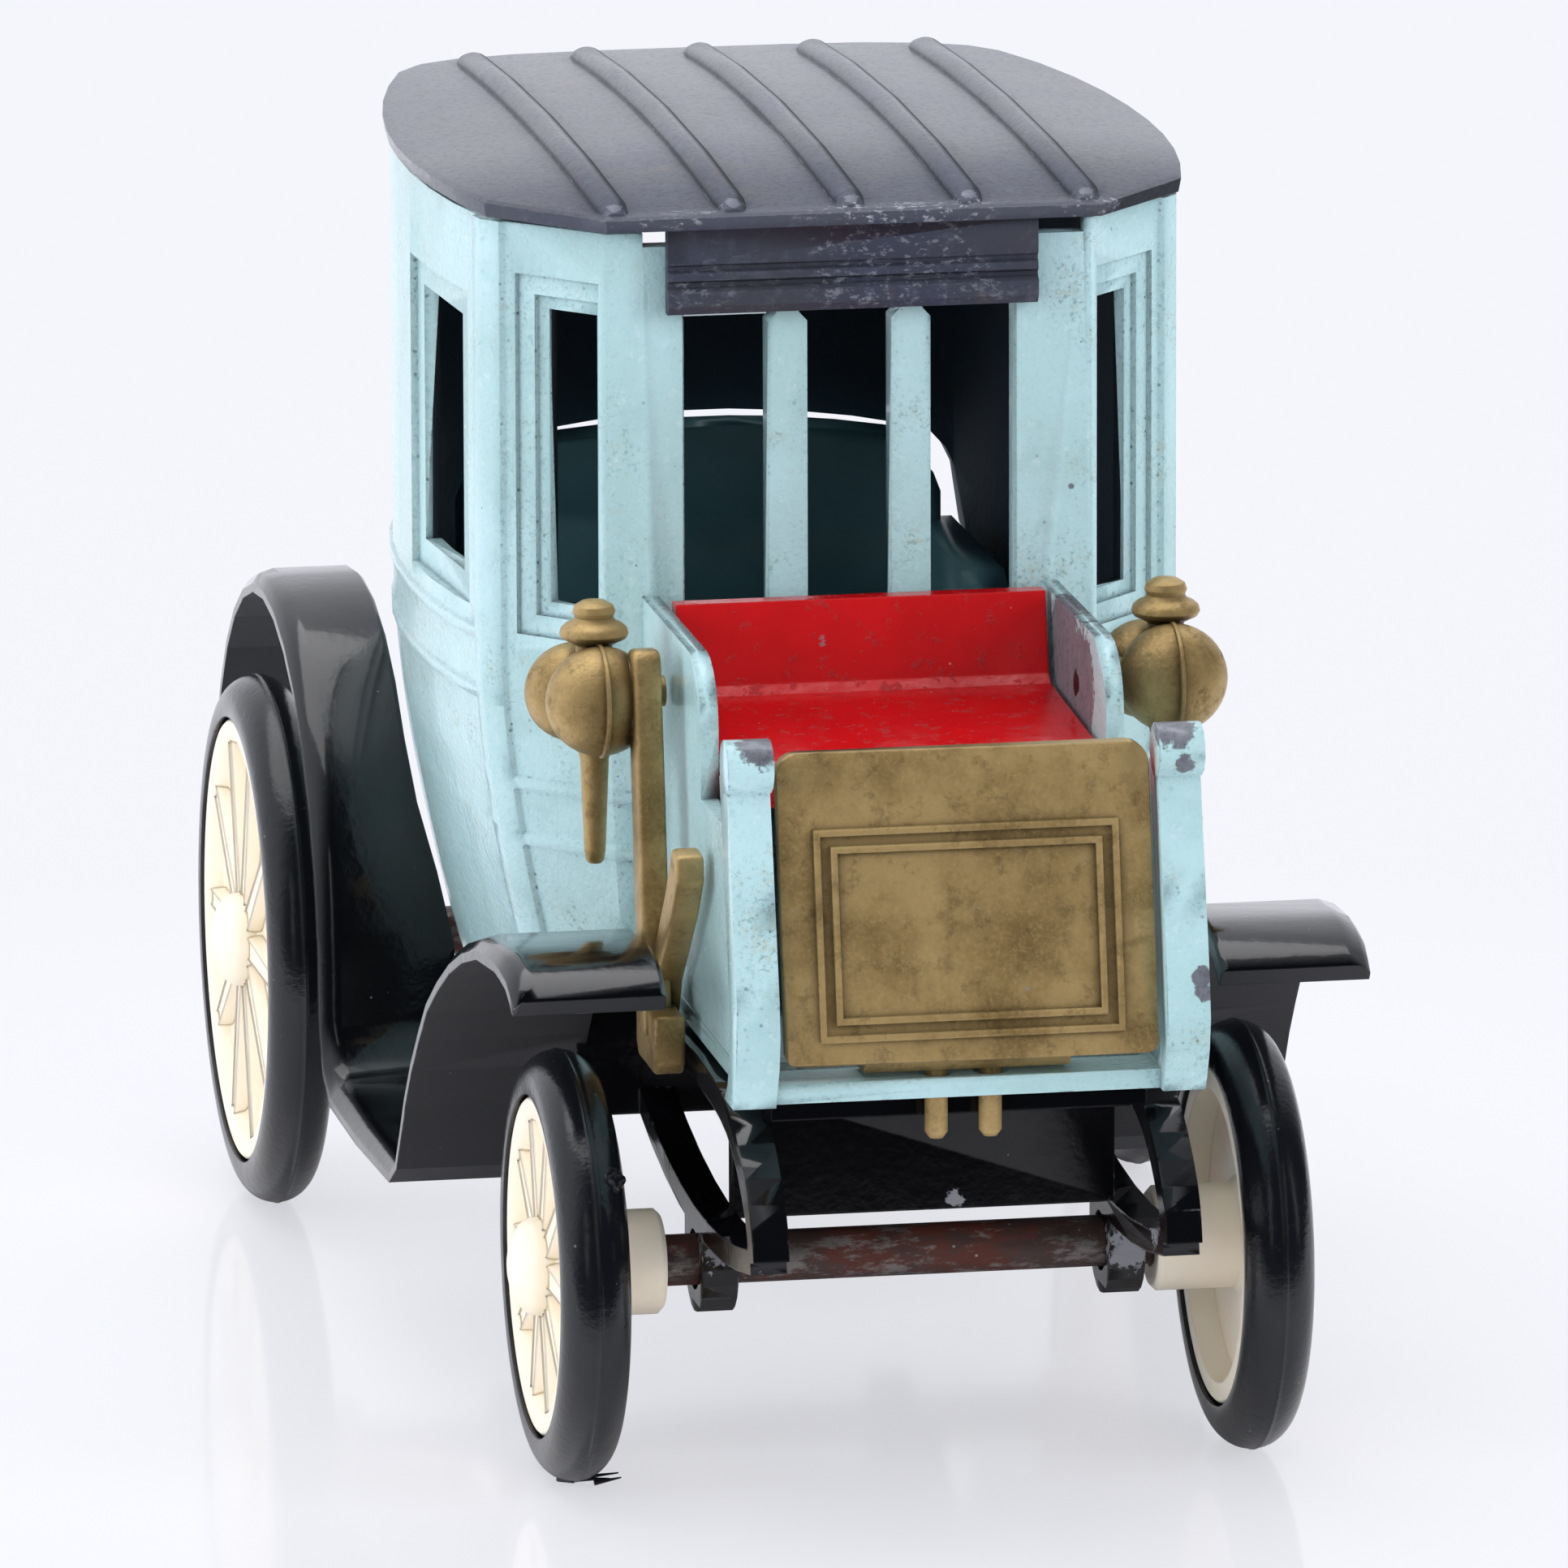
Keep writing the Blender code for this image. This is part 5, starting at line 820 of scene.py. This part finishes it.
def add_flash(bm, centre, radius):
    """The lump and the loose whiskers of plastic that the mould left on one tyre."""
    lump = bmesh.ops.create_icosphere(bm, subdivisions=3, radius=0.55)["verts"]
    for v in lump:
        v.co *= 1 + 0.16 * math.sin(9 * v.co.x + 4) * math.sin(8 * v.co.y + 2) + 0.12 * math.sin(11 * v.co.z)
    lean = Matrix.Rotation(math.radians(53), 4, "X")
    out = Matrix.Translation((0.8, 0, radius - 0.45)) @ Matrix.Diagonal((0.75, 0.8, 1.1, 1.0))
    bmesh.ops.transform(bm, matrix=Matrix.Translation(centre) @ lean @ out, verts=lump)
    taper = dict(cap_ends=True, segments=8, radius1=0.11, radius2=0.03)
    for across, back, length, turn in WHISKERS:
        hair = bmesh.ops.create_cone(bm, depth=length, **taper)["verts"]
        place = Matrix.Translation((centre.x + across, centre.y + back, WHISKER_HEIGHT))
        lie = Matrix.Rotation(math.radians(turn), 4, "Z") @ Matrix.Rotation(math.radians(84), 4, "X")
        bmesh.ops.transform(bm, matrix=place @ lie, verts=hair)


def build_tyre(end, hand, sizes, finish):
    """One ring tyre with the fine ridge that its mould left round the tread."""
    node = f"tyre_{end}_{hand}"
    low, high = car_box(node)
    centre = (low + high) / 2
    radius = (high.z - low.z) / 2
    half = (high.x - low.x) / 2
    foot = radius - sizes.tyre_wall / MM + 0.12
    flash = sizes.flash / MM
    crown = radius - flash - half
    start = math.degrees(math.asin((foot - crown) / half))
    section = arc_points((0.0, crown), half, start, 180 - start, 26)
    section = [p for p in section if abs(p[0]) > 0.12]
    middle = next(i for i, p in enumerate(section) if p[0] < 0)
    root = radius - flash * 1.05
    ridge = [(0.07, root), (0.03, radius), (-0.03, radius), (-0.07, root)]
    section = section[:middle] + ridge + section[middle:]
    profile = section + [(-0.85, foot), (0.85, foot), section[0]]
    bm = bmesh.new()
    turned(bm, profile, (1, 0, 0), centre, 144)
    if node == FLASHED_TYRE:
        add_flash(bm, centre, radius)
    finished(bm, f"black_{node}", f"{end}_wheel_set", finish, [node])


def build_axle(end, finish):
    """A steel wire with rounded ends."""
    low, high = car_box(f"{end}_axle")
    centre = (low + high) / 2
    half, radius = (high.x - low.x) / 2, (high.z - low.z) / 2
    profile = [(-half, 0.0), (-half, radius - 0.12), (0.12 - half, radius), (half - 0.12, radius)]
    profile += [(half, radius - 0.12), (half, 0.0)]
    bm = bmesh.new()
    turned(bm, profile, (1, 0, 0), centre, 48)
    finished(bm, f"steel_axle_{end}", f"{end}_wheel_set", finish, [f"{end}_axle"])


def lamp_into(bm, side, sizes):
    """Adds one carriage lamp: two joined lobes with a seam, a chimney cap, a tapering stem and its peg."""
    x, y, z = side * LAMP_X, LAMP_Y, LAMP_Z
    front, back = (x, y - LOBE_AHEAD, z), (x - 0.5, y + 1.7, z - 0.25)
    ball, rear_ball = sizes.ball / MM, sizes.rear_ball / MM
    turned(bm, arc_points((0, 0), ball, 0, 180, 22, 0.85), (0, 1, 0), front, 40)
    turned(bm, arc_points((0, 0), rear_ball, 0, 180, 20, 0.85), (0, 1, 0), back, 40)
    seam, inner = ball + sizes.seam / MM, ball * 0.9
    ring = [(-0.09, inner), (-0.07, seam), (0.07, seam), (0.09, inner), (-0.09, inner)]
    turned(bm, ring, (1, 0, 0), front, 40)
    foot, brim = LAMP_CAP_FOOT - z, sizes.cap_radius / MM
    cap = [(0.0, 0.0), (0.0, 0.72), (foot - 0.15, 0.72), (foot, 1.0)]
    cap += [(foot + 0.12, brim - 0.1), (foot + 0.3, brim), (foot + 0.52, brim - 0.06)]
    cap += [(foot + 0.68, brim * 0.82), (foot + 0.8, brim * 0.62), (foot + 0.95, brim * 0.56)]
    cap += [(foot + 1.15, brim * 0.62), (foot + 1.4, brim * 0.56), (foot + 1.58, brim * 0.34)]
    cap += [(foot + 1.65, 0.0)]
    turned(bm, cap, (0, 0, 1), (x, y, z), 36)
    tip = LAMP_STEM_FOOT - z
    stem = [(tip, 0.0), (tip, 0.26), (tip + 0.12, 0.36), (tip + 0.5, 0.42), (-2.6, 0.56), (-2.2, 0.66)]
    stem += [(-1.9, 0.8), (-0.4, 0.8), (-0.4, 0.0)]
    turned(bm, stem, (0, 0, 1), (x, y, z), 28)
    near, far = LAMP_PEG
    turned(bm, [(near, 0.0), (near, 0.6), (far, 0.6), (far, 0.0)], (side, 0, 0), (0.0, y, z), 24)


def lever_outline(points, widths):
    """A bar's outline about a middle line, as wide at each point as the widths say."""
    line = [Vector(p) for p in points]
    front, back = [], []
    for i, (p, width) in enumerate(zip(line, widths)):
        along = (line[min(i + 1, len(line) - 1)] - line[max(i - 1, 0)]).normalized()
        across = Vector((-along.y, along.x))
        front.append(p + across * width)
        back.append(p - across * width)
    return front + back[::-1]


def build_levers(sizes, finish):
    """The brass casting on the car's right: tall and short lever, foot and the lamp that it carries."""
    bm = bmesh.new()
    foot_y, top_y = LEVER_FOOT_Y, LEVER_TOP_Y
    tall = [(foot_y, 16.8), (foot_y + 0.55, 20.8), (foot_y + 1.25, 25.8), (top_y - 0.05, 31.2), (top_y, 31.6)]
    plate(bm, lever_outline(tall, (0.85, 0.85, 0.85, 0.85, 0.55)), TALL_LEVER_X, 0.22)
    short = [(foot_y + 0.9, 17.6), (foot_y + 0.2, 19.2)]
    short += [(FRONT_Y - 0.8, 22.7), (FRONT_Y - 2.0, 24.3), (FRONT_Y - 2.1, 25.0)]
    plate(bm, lever_outline(short, (0.55, 0.6, 0.8, 0.9, 0.55)), SHORT_LEVER_X, 0.2)
    foot = [(foot_y - 1.8, 15.6), (foot_y + 1.6, 15.6), (foot_y + 2.1, 16.1), (foot_y + 2.1, 18.0)]
    foot += [(foot_y - 2.3, 18.0), (foot_y - 2.3, 16.1)]
    plate(bm, foot, LEVER_FOOT_X, 0.2)
    lamp_into(bm, -1, sizes)
    finished(bm, "brass_levers_and_lamp", COACH, finish, ["control_levers"])


class DIECAST_OT_coachwork(Operator):
    """Dresses the enamelled body casting"""

    bl_idname = "diecast.coachwork"
    bl_label = "Coachwork"

    def execute(self, context):
        finish = enamel_finish(context.scene.diecast_colours)
        dressed("body_shell", "enamelled_body", COACH, finish)
        return {"FINISHED"}


class DIECAST_OT_roof(Operator):
    """Dresses the ribbed roof"""

    bl_idname = "diecast.roof"
    bl_label = "Roof"

    def execute(self, context):
        finish = roof_finish(context.scene.diecast_colours)
        piece = dressed("roof", "ribbed_roof", COACH, finish, math.radians(24), round_ribs, False)
        pillow_normals(piece.data)
        return {"FINISHED"}


class DIECAST_OT_seats(Operator):
    """Dresses the red bench and the dark green passengers' seat"""

    bl_idname = "diecast.seats"
    bl_label = "Seats"

    def execute(self, context):
        colours = context.scene.diecast_colours
        dressed("driver_seat", "red_bench", COACH, red_finish(colours))
        green = green_finish(colours)
        dressed("passenger_seat", "green_seat", COACH, green, reshape=lift_crown)
        return {"FINISHED"}


class DIECAST_OT_chassis(Operator):
    """Dresses the black chassis with its mudguards and rivets"""

    bl_idname = "diecast.chassis"
    bl_label = "Chassis"

    def execute(self, context):
        finish = black_finish(context.scene.diecast_colours)
        dressed("chassis", "black_chassis", COACH, finish, math.radians(27), widen_guards)
        for name in ("rivet_front", "rivet_rear"):
            dressed(name, f"peened_{name}", COACH, finish)
        return {"FINISHED"}


class DIECAST_OT_brass(Operator):
    """Makes the brass dash, lamps and levers"""

    bl_idname = "diecast.brass"
    bl_label = "Brass fittings"

    def execute(self, context):
        colours, sizes = context.scene.diecast_colours, context.scene.diecast_lamps
        dressed("dash_panel", "brass_dash", COACH, brass_finish(colours, "gold_dash_paint"))
        finish = brass_finish(colours, "gold_lamp_paint", 0.4, 0.65)
        build_levers(sizes, finish)
        bm = bmesh.new()
        lamp_into(bm, 1, sizes)
        finished(bm, "brass_lamp_left", COACH, finish, ["lamp_left"])
        return {"FINISHED"}


class DIECAST_OT_wheels(Operator):
    """Makes the ivory wheels, black tyres and steel axles"""

    bl_idname = "diecast.wheels"
    bl_label = "Wheels"

    def execute(self, context):
        colours, sizes = context.scene.diecast_colours, context.scene.diecast_wheels
        ivory, rubber, steel = ivory_finish(colours), tyre_finish(colours), axle_finish(colours)
        for end, hand in CORNERS:
            build_wheel(end, hand, sizes, ivory)
            build_tyre(end, hand, sizes, rubber)
        for end in ("front", "rear"):
            build_axle(end, steel)
        return {"FINISHED"}


def softbox(name, place, size, power, aim):
    """An area lamp that points at the car."""
    light = bpy.data.lights.new(name, "AREA")
    light.shape = "RECTANGLE"
    light.size, light.size_y = size
    light.energy = power
    lamp = bpy.data.objects.new(name, light)
    bpy.context.scene.collection.objects.link(lamp)
    lamp.location = place
    lamp.rotation_mode = "QUATERNION"
    lamp.rotation_quaternion = (aim - Vector(place)).to_track_quat("-Z", "Y")
    return lamp


def floor_finish():
    """A pale glossy sheet that keeps the car's soft shadow and a faint reflection."""
    f = Finish("pale_floor")
    f.surface(shade("F8F8FC"), 0.6, specular_ior_level=0.0)
    sheet = Value(f, f.shader.outputs[0])
    along = f.axis(f.place, 1)
    tint = f.mix(f.step(along, FRONT_Y - 60, FRONT_Y + 40), shade("F3F3F8"), shade("F7F8FE"))
    glow = f.node("ShaderNodeEmission", {}, {"Color": tint})
    gloss = f.node("ShaderNodeBsdfGlossy", {}, {"Roughness": 0.09})
    dark = f.node("ShaderNodeEmission", {}, {"Color": shade("202226")})
    even = 0.70 + 0.26 * f.step(f.vectors("DISTANCE", f.place, (0, 0, 0), 1), 25, 90)
    unlit = f.ray("Is Glossy Ray") * f.step(along, FRONT_Y - 14, FRONT_Y - 50)
    lit = f.mix_shaders(f.ray("Is Camera Ray") * even, sheet, glow)
    f.show(f.mix_shaders(unlit, f.mix_shaders(0.12, lit, gloss), dark), "Material Output")
    return f.material


def pale_world(strength):
    """Even light, a pale background where it is looked at, and a room for gloss, bright on one side."""
    world = bpy.data.worlds.new("pale_room")
    bpy.context.scene.world = world
    g = NodeGraph(world)
    even = g.tree.nodes["Background"]
    g.feed(even.inputs["Color"], shade("F6F8FF"))
    g.feed(even.inputs["Strength"], strength)
    direction = g.node("ShaderNodeTexCoord", output="Generated")
    bright = g.step(g.vectors("DOT_PRODUCT", direction, BRIGHT_SIDE, 1), -0.1, 0.8)
    room = g.node("ShaderNodeBackground", {}, {"Color": g.mix(bright, shade("1C1E22"), shade("F6F8FF"))})
    seen = g.node("ShaderNodeBackground", {}, {"Color": shade("F6F8FE")})
    lit = g.mix_shaders(g.ray("Is Glossy Ray"), Value(g, even.outputs[0]), room)
    open_to_view = g.ray("Is Camera Ray") | g.ray("Is Transmission Ray")
    g.show(g.mix_shaders(open_to_view, lit, seen), "World Output")


def floor_sheet():
    """The floor that the car stands on."""
    bm = bmesh.new()
    bmesh.ops.create_grid(bm, x_segments=1, y_segments=1, size=FLOOR_REACH)
    mesh = bpy.data.meshes.new("floor")
    bm.to_mesh(mesh)
    bm.free()
    mesh.materials.append(floor_finish())
    floor = bpy.data.objects.new("floor", mesh)
    bpy.context.scene.collection.objects.link(floor)


def aimed_camera(stage, target):
    """The camera that looks at a target from the stage's angles and distance."""
    a, e = stage.azimuth, stage.elevation
    view = Vector((-math.sin(a) * math.cos(e), math.cos(a) * math.cos(e), -math.sin(e)))
    camera_data = bpy.data.cameras.new("camera")
    camera_data.lens = stage.lens
    camera_data.sensor_width = 36
    camera_data.clip_start, camera_data.clip_end = 0.01, 50
    camera = bpy.data.objects.new("camera", camera_data)
    bpy.context.scene.collection.objects.link(camera)
    camera.location = target - view * stage.distance
    camera.rotation_mode = "QUATERNION"
    level = view.to_track_quat("-Z", "Y")
    camera.rotation_quaternion = level @ Matrix.Rotation(stage.roll, 3, "Z").to_quaternion()
    return camera


class DIECAST_OT_stage(Operator):
    """Sets the floor, the soft lamps and the camera"""

    bl_idname = "diecast.stage"
    bl_label = "Stage"

    def execute(self, context):
        stage = context.scene.diecast_stage
        floor_sheet()
        pale_world(stage.ambient)
        target = Vector(CAMERA_TARGET) * MM
        for name, place, size, power, mirrored in STAGE_LAMPS:
            lamp = softbox(name, place, size, getattr(stage, power), target)
            lamp.visible_glossy = mirrored
        bpy.context.scene.camera = aimed_camera(stage, target)
        context.scene.view_settings.view_transform = "Standard"
        return {"FINISHED"}


class DIECAST_PT_panel(Panel):
    """Lists the steps that dress the car"""

    bl_label = "Diecast coach"
    bl_space_type = "VIEW_3D"
    bl_region_type = "UI"
    bl_category = "Diecast"

    def draw(self, context):
        for name in GROUPS:
            group = getattr(context.scene, name)
            for key in group.bl_rna.properties.keys():
                if key not in ("rna_type", "name"):
                    self.layout.prop(group, key)
        for operator in STEPS:
            self.layout.operator(operator.bl_idname)


GROUPS = {
    "diecast_colours": DiecastColours,
    "diecast_wheels": DiecastWheelSizes,
    "diecast_lamps": DiecastLampSizes,
    "diecast_stage": DiecastStage,
}
STEPS = (
    DIECAST_OT_stage,
    DIECAST_OT_coachwork,
    DIECAST_OT_roof,
    DIECAST_OT_seats,
    DIECAST_OT_chassis,
    DIECAST_OT_brass,
    DIECAST_OT_wheels,
)


def register():
    for made in (*GROUPS.values(), *STEPS, DIECAST_PT_panel):
        bpy.utils.register_class(made)
    for name, group in GROUPS.items():
        setattr(bpy.types.Scene, name, PointerProperty(type=group))


def unregister():
    for name in GROUPS:
        delattr(bpy.types.Scene, name)
    for made in reversed((*GROUPS.values(), *STEPS, DIECAST_PT_panel)):
        bpy.utils.unregister_class(made)


def main():
    register()
    for step in STEPS:
        category, name = step.bl_idname.split(".")
        getattr(getattr(bpy.ops, category), name)()


if __name__ == "__main__":
    main()
